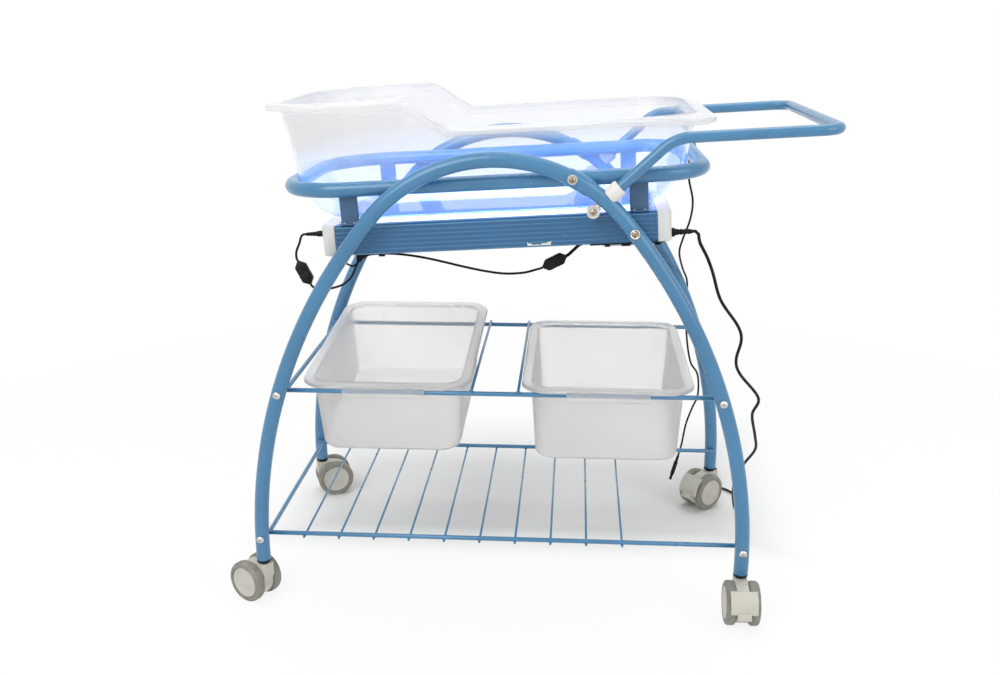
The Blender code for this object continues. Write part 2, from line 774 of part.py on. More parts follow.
def build_light_box(root, bed, finishes):
    """Extruded housing, gaskets, end caps, clear cover, reflector tray, light strips and driver."""
    half = box_profile()
    outline = [(BOX_X0, -y, z) for y, z in half] + [(BOX_X0, y, z) for y, z in reversed(half)]
    bm = bmesh.new()
    prism(bm, outline, (BOX_X1 - BOX_X0, 0, 0))
    housing = add_object("lamp_housing", bm, finishes["box"], bed)
    x, z = arch_point(BOX_BOLT_T)
    bosses = bmesh.new()
    cuts = bmesh.new()
    for side in (-1, 1):
        tip = side * (ARCH_Y - tube_r() - FIT)
        inside = side * (BOX_HALF_W - BOX_WALL)
        bar(bosses, (x, tip, z), (x, inside, z), BOSS_D, 12)
        hole(cuts, (x, side * (ARCH_Y + 0.01), z), (x, side * (BOX_HALF_W - 0.02), z), BOLT_D)
    boolean(housing, bosses, "UNION", root)
    boolean(housing, cuts, "DIFFERENCE", root)
    build_end_cap("left_end_cap", bed, finishes["white"], BOX_X0 - FIT, -1)
    build_end_cap("right_end_cap", bed, finishes["white"], BOX_X1 + FIT, 1)

    bm = bmesh.new()
    w = BOX_HALF_W - BOX_LIP - FIT
    block(bm, (BOX_X0 + FIT, -w, BOX_H - COVER_T), (BOX_X1 - FIT, w, BOX_H))
    add_object("lamp_cover", bm, finishes["clear"], bed)

    base = BOX_WALL + FIT
    top = base + TRAY_H
    w = TRAY_HALF_W
    t = TRAY_T
    hat = [(-w, base), (-w, top), (w, top), (w, base)]
    hat += [(w - t, base), (w - t, top - t), (-w + t, top - t), (-w + t, base)]
    x0 = BOX_X0 + TRAY_END_GAP
    x1 = BOX_X1 - TRAY_END_GAP
    bm = bmesh.new()
    prism(bm, [(x0, y, z) for y, z in hat], (x1 - x0, 0, 0))
    add_object("reflector_tray", bm, finishes["white"], bed)

    level = top + FIT
    w = TRAY_HALF_W - PANEL_MARGIN
    strip = level + PANEL_T
    shape = [(-w, level), (-w, strip)]
    for row in range(STRIP_COUNT):
        y = (row - (STRIP_COUNT - 1) / 2) * STRIP_PITCH
        half = STRIP_W / 2
        shape += [(y - half, strip), (y - half * 0.8, strip + STRIP_H)]
        shape += [(y + half * 0.8, strip + STRIP_H), (y + half, strip)]
    shape += [(w, strip), (w, level)]
    start = x0 + PANEL_MARGIN
    bm = bmesh.new()
    prism(bm, [(start, y, z) for y, z in shape], (x1 - PANEL_MARGIN - start, 0, 0))
    add_object("light_panel", bm, finishes["led"], bed)

    bm = bmesh.new()
    dx, dy, dz = DRIVER_SIZE
    x = BOX_X1 - TRAY_END_GAP - 0.04
    c = 0.003
    outline = [(-dy / 2, base), (-dy / 2, base + dz - c), (-dy / 2 + c, base + dz)]
    outline += [(dy / 2 - c, base + dz), (dy / 2, base + dz - c), (dy / 2, base)]
    prism(bm, [(x - dx, y, z) for y, z in outline], (dx, 0, 0))
    add_object("light_driver", bm, finishes["black"], bed)


def build_end_cap(name, bed, white, start, sign):
    """A hollow cap with rounded outer corners, open towards the light box."""
    w = BOX_HALF_W
    r = CAP_R
    tip = start + sign * CAP_L
    outline = [(start, -w)]
    outline += [(tip - sign * (r - x), -w + r - y) for x, y in arc((0, 0), r, math.pi / 2, 0, 4)]
    outline += [(x, -y) for x, y in reversed(outline)]
    bm = bmesh.new()
    c = BOX_CHAMFER
    prism(bm, [(x, y, 0) for x, y in outline], (0, 0, BOX_H))
    rims = [e for e in bm.edges if abs(e.verts[0].co.z - e.verts[1].co.z) < 1e-9]
    rims = [e for e in rims if max(abs(v.co.x - start) for v in e.verts) > 1e-6]
    bmesh.ops.bevel(bm, geom=rims, offset=c * 0.6, segments=1, affect="EDGES")
    cap = add_object(name, bm, white, bed)
    pocket = bmesh.new()
    xs = sorted((start - sign * 0.01, tip - sign * CAP_WALL))
    inner = w - CAP_R
    block(pocket, (xs[0], -inner, 2 * CAP_WALL), (xs[1], inner, BOX_H - 2 * CAP_WALL))
    boolean(cap, pocket, "DIFFERENCE", bed)
    port = bmesh.new()
    if sign > 0:
        outer = (tip + 0.01, MAINS_GLAND_Y, MAINS_GLAND_Z)
        inner = (tip - 0.008, MAINS_GLAND_Y, MAINS_GLAND_Z)
        hole(port, outer, inner, 0.006)
    else:
        hole(port, (tip - 0.01, DC_Y, DC_Z), (tip + 0.009, DC_Y, DC_Z), DC_BARREL_D)
    boolean(cap, port, "DIFFERENCE", bed)


def ring_path():
    """The ring's centre line, a rectangle with a round head end."""
    w = RING_HALF_W
    points = arc((RING_X1 - RING_R1, w - RING_R1), RING_R1, 0, math.pi / 2, 4)
    points += arc((RING_X0 + RING_R0, w - RING_R0), RING_R0, math.pi / 2, math.pi, 5)
    points += [(x, -y) for x, y in reversed(points)]
    return [Vector((x, y, RING_Z)) for x, y in points]


def build_ring(bed, blue):
    """Basin ring of bent tube with four flat uprights welded under it."""
    path = ring_path()
    r = RING_TUBE_D / 2
    bm = bmesh.new()
    sweep(bm, path, [r] * len(path), TUBE_SIDES, (0, 0, 1), closed=True)
    ring = add_object("basin_ring", bm, blue, bed)
    bm = bmesh.new()
    sweep(bm, path, [r - TUBE_WALL] * len(path), 8, (0, 0, 1), closed=True)
    boolean(ring, bm, "DIFFERENCE", bed)
    bm = bmesh.new()
    floor = BOX_H + FIT
    y0 = UPRIGHT_Y - UPRIGHT_T / 2
    y1 = UPRIGHT_Y + UPRIGHT_T / 2
    foot = floor + FOOT_T
    shape = [(y0, floor), (y1 + FOOT_L, floor), (y1 + FOOT_L, foot), (y1, foot), (y1, RING_Z), (y0, RING_Z)]
    for x in UPRIGHT_X:
        for side in (-1, 1):
            outline = [(x - UPRIGHT_W / 2, side * y, z) for y, z in shape]
            prism(bm, outline, (UPRIGHT_W, 0, 0))
    boolean(ring, bm, "UNION", bed)
    bm = bmesh.new()
    bar(bm, (0, RING_HALF_W, RING_Z - RING_TUBE_D), (0, RING_HALF_W, RING_Z), DRAIN_D, 8)
    boolean(ring, bm, "DIFFERENCE", bed)


def outline_points(x0, x1, half_w, r0, r1, steps, stops=()):
    """A rounded rectangle as (x, y) points, with extra points on its long sides at stops."""
    top = arc((x1 - r1, half_w - r1), r1, 0, math.pi / 2, steps)
    top += [(x, half_w) for x in sorted(stops, reverse=True)]
    top += arc((x0 + r0, half_w - r0), r0, math.pi / 2, math.pi, steps)
    return top + [(x, -y) for x, y in reversed(top)]


def basin_height(x):
    """Rim height: high round the head, then a slope down to the low foot end."""
    share = (x - HOOD_END_X) / (SLOPE_END_X - HOOD_END_X)
    share = min(1, max(0, share))
    return BASIN_HOOD + (BASIN_LOW - BASIN_HOOD) * share


def basin_rings(inset):
    """Rings from the bottom to the rim: (head X, foot X, half width, radii, height)."""
    stops = (HOOD_END_X, SLOPE_END_X, BASIN_MIDDLE_X)
    rings = []
    for x0, x1, w, r0, r1, z in BASIN_WALL:
        ring = outline_points(x0 + inset, x1 - inset, w - inset, r0 - inset, r1 - inset, BASIN_SEGS, stops)
        lift = max(z, inset) if z < 4 * BASIN_T else z
        rings.append([Vector((x, y, lift if inset else z)) for x, y in ring])
    wall = rings[-1]
    ends = (BASIN_RIM_X[0] + inset, BASIN_RIM_X[1] - inset)
    rim = outline_points(*ends, BASIN_RIM_HALF_W - inset, *BASIN_RIM_R, BASIN_SEGS, stops)
    drop = 0 if inset else BASIN_T
    top = [Vector((x, y, basin_height(x) - drop)) for x, y in rim]
    for share in (0.35, 0.7):
        ring = []
        for low, high in zip(wall, top):
            point = low.lerp(high, share ** 1.35)
            point.z = low.z + (high.z - low.z) * share
            ring.append(point)
        rings.append(ring)
    rings.append(top)
    return rings


def build_basin(bed, clear):
    """Clear bassinet: one moulded shell with a hooded head end and a turned-down flange."""
    outer = basin_rings(0)
    inner = basin_rings(BASIN_T)
    stops = (HOOD_END_X, SLOPE_END_X, BASIN_MIDDLE_X)
    edge = outline_points(*FLANGE_X, FLANGE_HALF_W, *FLANGE_R, BASIN_SEGS, stops)
    t = BASIN_LIP_T
    ends = (FLANGE_X[0] + t, FLANGE_X[1] - t)
    radii = (FLANGE_R[0] - t, FLANGE_R[1] - t)
    under = outline_points(*ends, FLANGE_HALF_W - t, *radii, BASIN_SEGS, stops)
    # the flange droops at the foot end, and stays level elsewhere
    heights = []
    for (x, y), wall in zip(edge, inner[-1]):
        share = (x - wall.x) / FLANGE_DROOP_RUN if x > 0 else 0
        heights.append(wall.z - FLANGE_DROOP * min(1, max(0, share)))
    rings = list(outer)
    rings.append([Vector((x, y, z - BASIN_T)) for (x, y), z in zip(under, heights)])
    rings.append([Vector((x, y, z - BASIN_LIP)) for (x, y), z in zip(under, heights)])
    rings.append([Vector((x, y, z - BASIN_LIP)) for (x, y), z in zip(edge, heights)])
    rings.append([Vector((x, y, z - BASIN_T / 2)) for (x, y), z in zip(edge, heights)])
    rings.append([Vector((x, y, z)) for (x, y), z in zip(under, heights)])
    rings += reversed(inner)
    floor = BOX_H + FIT
    bm = bmesh.new()
    loft(bm, [[point + Vector((0, 0, floor)) for point in ring] for ring in rings])
    add_object("basin", bm, clear, bed)


def bin_top_w():
    return 2 * (rail_y() - RAIL_D / 2 - BIN_SIDE_GAP)


def bin_rim_w():
    return 2 * (rail_y() + RAIL_D / 2 + BIN_RIM_LAP)


def bin_rim_l():
    return BIN_TOP_L + 2 * BIN_RIM_END


def bin_ring(length, width, radius, z):
    points = outline_points(-length / 2, length / 2, width / 2, radius, radius, 4)
    return [Vector((x, y, z)) for x, y in points]


def build_bin(name, holder, milky):
    """Storage bin: tapered shell, rolled rim, front lip over the rail and two rear stops."""
    t = BIN_T
    d = BIN_DEPTH
    r = BIN_CORNER_R
    k = BIN_FOOT_ROUND
    top_l = BIN_TOP_L
    top_w = bin_top_w()
    rim_l = bin_rim_l()
    rim_w = bin_rim_w()
    foot_l = top_l - 2 * BIN_TAPER_L
    foot_w = top_w - 2 * BIN_TAPER_W
    rings = [
        bin_ring(foot_l - 2 * k, foot_w - 2 * k, r - k, -d),
        bin_ring(foot_l - 0.6 * k, foot_w - 0.6 * k, r - 0.3 * k, -d + 0.3 * k),
        bin_ring(foot_l, foot_w, r, -d + k),
        bin_ring(top_l, top_w, r, 0),
        bin_ring(rim_l, rim_w, r + 0.012, 0),
        bin_ring(rim_l, rim_w, r + 0.012, BIN_RIM_H * 0.55),
        bin_ring(rim_l - 0.008, rim_w - 0.008, r + 0.008, BIN_RIM_H),
        bin_ring(top_l - 2 * t + 0.006, top_w - 2 * t + 0.006, r, BIN_RIM_H),
        bin_ring(top_l - 2 * t, top_w - 2 * t, r - t, BIN_RIM_H - 0.004),
        bin_ring(foot_l - 2 * t, foot_w - 2 * t, r - t, -d + k),
        bin_ring(foot_l - 2 * k, foot_w - 2 * k, r - k, -d + t),
    ]
    bm = bmesh.new()
    loft(bm, rings)
    made = add_object(name, bm, milky, holder)
    bm = bmesh.new()
    front = -rim_w / 2
    out = front - LIP_STANDOUT
    tab = [(front + 0.004, BIN_RIM_H * 0.5), (front + 0.004, 0.0008), (out + LIP_T, 0.0008)]
    tab += [(out + LIP_T, -LIP_DROP), (out, -LIP_DROP), (out, BIN_RIM_H * 0.5)]
    prism(bm, [(-LIP_W / 2, y, z) for y, z in tab], (LIP_W, 0, 0))
    for x in (-STOP_X, STOP_X):
        y1 = top_w / 2 + STOP_REACH
        y0 = top_w / 2 - 0.0042
        block(bm, (x - STOP_W / 2, y0, -STOP_DROP), (x + STOP_W / 2, y1, 0.001))
    boolean(made, bm, "UNION", holder)


def build_bins(root, milky):
    seat = rail_top(UPPER_RACK_Z) + FIT
    reach = ROD_D / 2 + BIN_ROD_GAP + bin_rim_l() / 2
    right = add_empty("right_bin_place", root, (UPPER_ROD_X[1] + reach, 0, seat))
    build_bin("right_bin", right, milky)
    # the left bin hooks on the front rail and stands on its stops on the rear rail
    span = rail_y() + LEFT_BIN_SHIFT + bin_top_w() / 2 + STOP_REACH
    tilt = math.atan2(STOP_DROP, span) + 0.0012
    pivot = Vector((UPPER_ROD_X[0] - reach, -rail_y(), seat))
    arm = Matrix.Rotation(tilt, 3, "X") @ Vector((0, rail_y() + LEFT_BIN_SHIFT, 0))
    left = add_empty("left_bin_place", root, pivot + arm, (tilt, 0, 0))
    build_bin("left_bin", left, milky)


def build_casters(root, finishes):
    """Swivel bodies with stems, twin wheels, collars, and pedals on the right-hand pair."""
    for name, sx, sy, heading, braked in CASTERS:
        place = (sx * foot_x(), sy * ARCH_Y, 0)
        swivel = add_empty(name + "_swivel", root, place, (0, 0, math.radians(heading)))
        build_caster_body(name, swivel, finishes["cream"])
        build_wheels(name, swivel, finishes["tread"])
        build_collar(name, root, place, finishes["black"])
        if braked:
            build_pedal(name, swivel, finishes["cream"])


def build_collar(name, root, place, black):
    """Plug in the leg's end with the bore in which the caster's stem turns."""
    bore = STEM_D / 2 + RUN
    low = CASTER_TOP_Z + FIT
    # the leg's end face leans a little, so the collar stops just under its lowest edge
    top = LEG_END_Z - tube_r() * abs(math.cos(leg_turn(LEG_END_Z))) - FIT
    flange = COLLAR_FLANGE_D / 2
    plug = COLLAR_PLUG_D / 2
    peak = top + COLLAR_PLUG_L
    profile = [(bore, low), (flange, low), (flange, top), (plug, top), (plug, peak), (bore, peak)]
    bm = bmesh.new()
    turned(bm, profile, place, (0, 0, 1), 10, closed=True)
    add_object(name + "_collar", bm, black, root)


def build_caster_body(name, swivel, cream):
    """Rounded body between the wheels, with a boss and a stem for the swivel."""
    r = CASTER_BODY_D / 2
    z = WHEEL_D / 2
    boss = CASTER_BOSS_D / 2
    round_part = arc((CASTER_TRAIL, z), r, math.radians(78), math.radians(-188), 14)
    outline = [(-boss, CASTER_TOP_Z), (boss, CASTER_TOP_Z), *round_part, (-boss, z + 0.012)]
    half = CASTER_BODY_W / 2
    bm = bmesh.new()
    prism(bm, [(x, -half, h) for x, h in outline], (0, CASTER_BODY_W, 0))
    made = add_object(name + "_caster_body", bm, cream, swivel)
    bm = bmesh.new()
    stem = STEM_D / 2
    base = CASTER_TOP_Z - 0.010
    top = CASTER_TOP_Z + STEM_L
    profile = ((0, base), (stem, base), (stem, top - 0.001), (stem - 0.001, top), (0, top))
    turned(bm, profile, (0, 0, 0), (0, 0, 1), 10)
    boolean(made, bm, "UNION", swivel)
    bm = bmesh.new()
    bar(bm, (CASTER_TRAIL, -0.03, z), (CASTER_TRAIL, 0.03, z), AXLE_D + 2 * RUN, 10, None, True)
    boolean(made, bm, "DIFFERENCE", swivel)


def build_wheels(name, swivel, tread):
    """Twin wheels pressed on one axle, about the axle's own origin."""
    axle = add_empty(name + "_axle_line", swivel, (CASTER_TRAIL, 0, WHEEL_D / 2))
    near = CASTER_BODY_W / 2 + 2 * FIT
    far = near + TREAD_W
    rim = WHEEL_D / 2
    half = [(AXLE_D / 2, near), (rim - 0.003, near), (rim, near + 0.0035), (rim, far - 0.0045)]
    half += [(rim - 0.0035, far), (0, far + 0.0008)]
    profile = [(r, -h) for r, h in reversed(half)] + half
    bm = bmesh.new()
    turned(bm, profile, (0, 0, 0), (0, 1, 0), WHEEL_SIDES, (0, 0, -1), True)
    add_object(name + "_twin_wheels", bm, tread, axle)


def pedal_pivot():
    """Pedal hinge line in a caster's own XZ plane, just outside the body."""
    reach = CASTER_BODY_D / 2 + FIT
    knuckle = (WHEEL_D / 2 + PEDAL_GAP - reach) / 2
    reach += knuckle
    x = CASTER_TRAIL + reach * math.cos(PEDAL_TOP)
    z = WHEEL_D / 2 + reach * math.sin(PEDAL_TOP)
    return x, z, knuckle


def build_pedal(name, swivel, cream):
    """Brake pedal: a plate curved round the treads, a foot tab, and a knuckle on the body."""
    px, pz, knuckle = pedal_pivot()
    hinge = add_empty(name + "_pedal_line", swivel, (px, 0, pz))
    centre = (CASTER_TRAIL - px, WHEEL_D / 2 - pz)
    inner_r = WHEEL_D / 2 + PEDAL_GAP
    outer_r = inner_r + PEDAL_T
    inside = arc(centre, inner_r, PEDAL_TOP, PEDAL_LOW, 6)
    outside = arc(centre, outer_r, PEDAL_LOW, PEDAL_TOP, 6)
    half = PEDAL_W / 2
    bm = bmesh.new()
    prism(bm, [(x, -half, z) for x, z in inside + outside], (0, PEDAL_W, 0))
    made = add_object(name + "_brake_pedal", bm, cream, hinge)
    bm = bmesh.new()
    tip = outside[0]
    root_x = inside[-1][0] + 0.0006
    tab = [(root_x, tip[1] + 0.003), (tip[0] + 0.001, tip[1] + 0.004)]
    tab += [(tip[0] + PEDAL_TAB_L * 0.49, tip[1] - PEDAL_TAB_L * 0.7)]
    tab += [(tip[0] + PEDAL_TAB_L * 0.49 - 0.002, tip[1] - PEDAL_TAB_L * 0.7 - 0.002)]
    half = PEDAL_TAB_W / 2
    prism(bm, [(x, -half, z) for x, z in tab], (0, PEDAL_TAB_W, 0))
    half = KNUCKLE_W / 2
    out = Vector((math.cos(PEDAL_TOP), 0, math.sin(PEDAL_TOP)))
    bar(bm, (0, -half, 0), (0, half, 0), 2 * knuckle, 10, tuple(out))
    web = bmesh.new()
    low = out * 0.0002
    high = out * (knuckle + 0.0015)
    across = Vector((-out.z, 0, out.x)) * knuckle * 0.9
    shape = [low + across * 0.5, high + across * 0.5, high - across, low - across]
    prism(web, [(p.x, -half * 0.9, p.z) for p in shape], (0, KNUCKLE_W * 0.9, 0))
    boolean(made, bm, "UNION", hinge)
    boolean(made, web, "UNION", hinge)


def smooth_route(points, spacing):
    """Even points on a smooth curve through a route whose first and last runs stay straight."""
    points = [Vector(p) for p in points]
    dense = []
    for i in range(1, len(points) - 2):
        first = points[i]
        second = points[i + 1]
        pull = (second - points[i - 1]) / 2
        push = (points[i + 2] - first) / 2
        if i == 1:
            pull = (first - points[0]).normalized() * (second - first).length
        if i == len(points) - 3:
            push = (points[-1] - second).normalized() * (second - first).length
        for k in range(24):
            u = k / 24
            a = 2 * u ** 3 - 3 * u ** 2 + 1
            b = u ** 3 - 2 * u ** 2 + u
            c = -2 * u ** 3 + 3 * u ** 2
            d = u ** 3 - u ** 2
            dense.append(first * a + pull * b + second * c + push * d)
    dense.append(points[-2])
    steps = [0.0]
    for first, second in zip(dense, dense[1:]):
        steps.append(steps[-1] + (second - first).length)
    count = max(2, round(steps[-1] / spacing))
    even = [points[0]]
    k = 0
    for i in range(count + 1):
        want = steps[-1] * i / count
        while k < len(steps) - 2 and steps[k + 1] < want:
            k += 1
        span = max(steps[k + 1] - steps[k], 1e-9)
        even.append(dense[k].lerp(dense[k + 1], (want - steps[k]) / span))
    even.append(points[-1])
    return even, path_length(even)


def add_cord(name, path, diameter, resolution, finish, root):
    """A round cord along a path, with closed ends."""
    curve = bpy.data.curves.new(name, "CURVE")
    curve.dimensions = "3D"
    curve.bevel_depth = diameter / 2
    curve.bevel_resolution = resolution
    curve.use_fill_caps = True
    curve.materials.append(finish)
    line = curve.splines.new("POLY")
    line.points.add(len(path) - 1)
    for slot, point in zip(line.points, path):
        slot.co = (*point, 1)
        slot.radius = 1
    made = bpy.data.objects.new(name, curve)
    bpy.context.scene.collection.objects.link(made)
    made.parent = root
    NODES.append(made)
    CORD_NODES.append(made)


def coil_path():
    """Flat coil of two layers: it winds in, climbs in half a turn and winds out again."""
    turns_in = COIL_LAYER_TURNS * math.tau
    low = MAINS_D / 2 + FIT
    layer = MAINS_D + 0.0006
    path = []
    total = 2 * turns_in
    count = round(total / math.tau * COIL_LOOP_POINTS)
    for i in range(count + 1):
        turn = total * i / count
        radius = COIL_OUT_R - COIL_STEP * (turns_in - abs(turns_in - turn)) / math.tau
        climb = min(1, max(0, (turn - turns_in + math.pi / 2) / math.pi))
        z = low + layer * (3 * climb ** 2 - 2 * climb ** 3)
        x = COIL_CENTRE[0] + radius * math.cos(turn)
        y = COIL_CENTRE[1] + radius * math.sin(turn)
        path.append(Vector((x, y, z)))
    lead_in = path[0] - Vector((0, MAINS_D, 0))
    lead_out = path[-1] + Vector((0, COIL_LEAD_OUT, 0))
    return [lead_in, *path, lead_out]


def least_gap(path, diameter):
    """Smallest gap between turns that aren't neighbours along the cord."""
    best = 1.0
    for i, first in enumerate(path):
        for second in path[i + COIL_LOOP_POINTS // 2:]:
            best = min(best, (first - second).length - diameter)
    return best


def path_length(path):
    return sum((b - a).length for a, b in zip(path, path[1:]))


def ribbed(length, radius, tip, ribs):
    """Profile of a tapered strain relief with grooves."""
    points = []
    for i in range(ribs):
        r = radius + (tip - radius) * i / ribs
        z = length * i / ribs
        points += [(r, z), (r * 0.97, z + length / ribs * 0.55), (r * 0.8, z + length / ribs * 0.6)]
        points.append((r * 0.8, z + length / ribs * 0.95))
    return points


def build_mains_cord(root, bed, black):
    """Gland on the right cap, the hanging lead, its put-away coil with a tie, and the plug."""
    tip = BOX_X1 + CAP_L + FIT
    bm = bmesh.new()
    body = [(0, -0.007), (0.0029, -0.007), (0.0029, FIT), (0.0075, FIT), (0.0075, 0.005), (0.0062, 0.0065)]
    body += [(r, h + 0.008) for r, h in ribbed(GLAND_L - 0.008, 0.0052, 0.0040, 4)]
    body += [(0.0034, GLAND_L), (0, GLAND_L)]
    turned(bm, body, (tip, MAINS_GLAND_Y, MAINS_GLAND_Z), (1, 0, 0), 8)
    add_object("mains_gland", bm, black, bed)
    start = bed_point(tip + GLAND_L + FIT, MAINS_GLAND_Y, MAINS_GLAND_Z)
    out = bed_point(tip + GLAND_L + MAINS_D, MAINS_GLAND_Y, MAINS_GLAND_Z)
    coil = coil_path()
    stop = coil[0] - Vector((0, FIT, 0))
    route = [start, out, *MAINS_ROUTE, stop - Vector((-0.002, 0.016, 0)), stop]
    path, free = smooth_route(route, 3 * MAINS_D)
    add_cord("mains_cord", path, MAINS_D, 2, black, root)
    add_cord("mains_coil", coil, MAINS_D, 1, black, root)
    print("mains lead: free", round(free, 4), "coil", round(path_length(coil), 4))
    print("coil's least gap to itself", round(least_gap(coil, MAINS_D), 5))

    bm = bmesh.new()
    seat = coil[-1] + Vector((0, FIT, 0))
    half = seat.z
    body = [(0.0034, 0), (0.0042, 0.010), (0.0062, 0.012)]
    body += [(half - 0.0004, 0.018), (half - 0.0002, PLUG_L - 0.006), (half - 0.0008, PLUG_L)]
    rings = []
    for r, h in body:
        wide = r * (1.0 if h < 0.012 else 1.35)
        ring = outline_points(-wide, wide, r, r * 0.45, r * 0.45, 2)
        rings.append([seat + Vector((x, h, y)) for x, y in ring])
    loft(bm, rings)
    plug = add_object("mains_plug", bm, black, root, cord=True)
    pins = bmesh.new()
    for side in (-1, 1):
        base = seat + Vector((side * PIN_PITCH / 2, PLUG_L - 0.003, 0))
        bar(pins, base, base + Vector((0, PIN_L + 0.003, 0)), PIN_D, 8)
    boolean(plug, pins, "UNION", root)


def build_thin_lead(root, bed, black):
    """Clip on the ring's end bar and the thin lead that hangs from it, with its connector."""
    r = RING_TUBE_D / 2
    bm = bmesh.new()
    middle = Vector((RING_X1, LEAD_TOP[1], RING_Z))
    grow = 1 / math.cos(math.pi / TUBE_SIDES)
    inner = r * grow + FIT
    outer = r * grow + 0.0022
    band = ((inner, -0.006), (outer, -0.006), (outer, 0.006), (inner, 0.006))
    turned(bm, band, middle, (0, 1, 0), 16, None, True, True)
    clip = add_object("ring_clip", bm, black, bed)
    top = Vector(LEAD_TOP)
    sin = math.sin(BED_TILT)
    cos = math.cos(BED_TILT)
    exit_x = top.x * cos + (top.z - BED_Z) * sin
    exit_z = -top.x * sin + (top.z - BED_Z) * cos
    bm = bmesh.new()
    low = (exit_x - 0.0045, top.y - 0.005, exit_z + FIT)
    block(bm, low, (exit_x + 0.0045, top.y + 0.005, RING_Z - 0.002))
    boolean(clip, bm, "UNION", bed)
    bm = bmesh.new()
    along = Vector((0, 0.02, 0))
    bar(bm, middle - along, middle + along, 2 * inner, 16, None, True)
    boolean(clip, bm, "DIFFERENCE", bed)
    fall = Vector(CONNECTOR_FALL).normalized()
    end = Vector(THIN_LEAD_ROUTE[-1]) + fall * LEAD_D
    path, length = smooth_route([top, top - Vector((0, 0, LEAD_D)), *THIN_LEAD_ROUTE, end], 3 * LEAD_D)
    add_cord("thin_lead", path, LEAD_D, 2, black, root)
    print("thin lead", round(length + CONNECTOR_L, 4))
    bm = bmesh.new()
    r = CONNECTOR_D / 2
    profile = [(0, 0), (0.0026, 0), (0.0030, 0.014), (r, 0.017), (r, CONNECTOR_L - 0.013)]
    profile += [(r - 0.0006, CONNECTOR_L - 0.012), (0.0029, CONNECTOR_L - 0.012)]
    profile += [(0.0029, CONNECTOR_L - 0.0006), (0.0023, CONNECTOR_L), (0, CONNECTOR_L)]
    turned(bm, profile, end + fall * FIT, fall, 10)
    add_object("lead_connector", bm, black, root, cord=True)


def coupler(bm, ends):
    """A moulded block with chamfered ends between two points."""
    start = Vector(ends[0])
    along = (Vector(ends[1]) - start).normalized()
    length, width, height = COUPLER_SIZE
    across = along.cross(Vector((0, 1, 0))).normalized()
    deep = along.cross(across)
    rings = []
    for share, size in ((0, 0.36), (0.16, 0.95), (0.24, 1.0), (0.76, 1.0), (0.84, 0.95), (1, 0.36)):
        ring = outline_points(-width / 2 * size, width / 2 * size, height / 2 * size, 0.002, 0.002, 1)
        rings.append([start + along * (length * share) + across * x + deep * y for x, y in ring])
    loft(bm, rings)
    return start, start + along * length, along


def build_dc_lead(root, bed, black):
    """Plug at the left cap, and the lead with two couplers to the box's underside."""
    tip = BOX_X0 - CAP_L - FIT
    bm = bmesh.new()
    b = DC_BARREL_D / 2
    plug = [(0, -DC_BARREL_L), (b, -DC_BARREL_L), (b, FIT), (0.0046, FIT)]
    plug += [(0.0050, 0.0015), (0.0050, 0.017), (0.0040, 0.019)]
    plug += [(r, h + 0.019) for r, h in ribbed(DC_PLUG_L - 0.019, 0.0040, 0.0028, 3)]
    plug += [(0.0025, DC_PLUG_L), (0, DC_PLUG_L)]
    turned(bm, plug, bed_point(tip, DC_Y, DC_Z), bed_point(-1, 0, 0) - bed_point(0, 0, 0), 8)
    add_object("dc_plug", bm, black, root, cord=True)

    bm = bmesh.new()
    a_start, a_end, a_along = coupler(bm, COUPLER_A)
    add_object("left_coupler", bm, black, root, cord=True)
    bm = bmesh.new()
    b_start, b_end, b_along = coupler(bm, COUPLER_B)
    made = add_object("right_coupler", bm, black, root, cord=True)
    end = bed_point(TAIL_X, TAIL_Y, -FIT)
    up = bed_point(0, 0, 1) - bed_point(0, 0, 0)
    route = [b_end - b_along * 0.004, b_end + b_along * 0.002, *TAIL_ROUTE, end - up * TAIL_D, end]
    path, third = smooth_route(route, 2 * TAIL_D)
    bm = bmesh.new()
    sweep(bm, path, [TAIL_D / 2] * len(path), 8, (0, 1, 0))
    boolean(made, bm, "UNION", root)

    out = bed_point(tip - DC_PLUG_L - FIT, DC_Y, DC_Z)
    next_out = bed_point(tip - DC_PLUG_L - LEAD_D, DC_Y, DC_Z)
    stop = a_start - a_along * FIT
    route = [out, next_out, *DC_A_ROUTE, stop - a_along * LEAD_D * 0.6, stop]
    path, first = smooth_route(route, 2.5 * LEAD_D)
    add_cord("dc_lead_short", path, LEAD_D, 2, black, root)
    start = a_end + a_along * FIT
    stop = b_start - b_along * FIT
    route = [start, start + a_along * LEAD_D, *DC_B_ROUTE, stop - b_along * LEAD_D, stop]
    path, second = smooth_route(route, 3 * LEAD_D)
    add_cord("dc_lead_long", path, LEAD_D, 2, black, root)
    print("direct-current lead", round(first, 4), round(second, 4), round(third, 4))
    build_lead_clip(root, black, min(path, key=lambda p: abs(p.x - CLIP_X)))


def build_lead_clip(root, black, near):
    """A hook under the light box that the long lead lies in."""
    half = CLIP_W / 2
    bore = LEAD_D / 2 + 2 * FIT
    wall = bore + CLIP_WALL
    shape = [(-wall, 0), (-wall, -wall), (wall, -wall), (wall, -bore * 0.2), (bore, -bore * 0.2)]
    shape += [(bore, -bore), (-bore, -bore), (-bore, bore), (wall, bore), (wall, 0)]
    bm = bmesh.new()
    outline = []
    for y, z in shape:
        level = near.z + z
        if z == 0:
            level = BED_Z + (near.x - half) * math.tan(BED_TILT) - FIT
        outline.append((near.x - half, near.y + y, level))
    prism(bm, outline, (CLIP_W, 0, 0))
    add_object("lead_clip", bm, black, root)


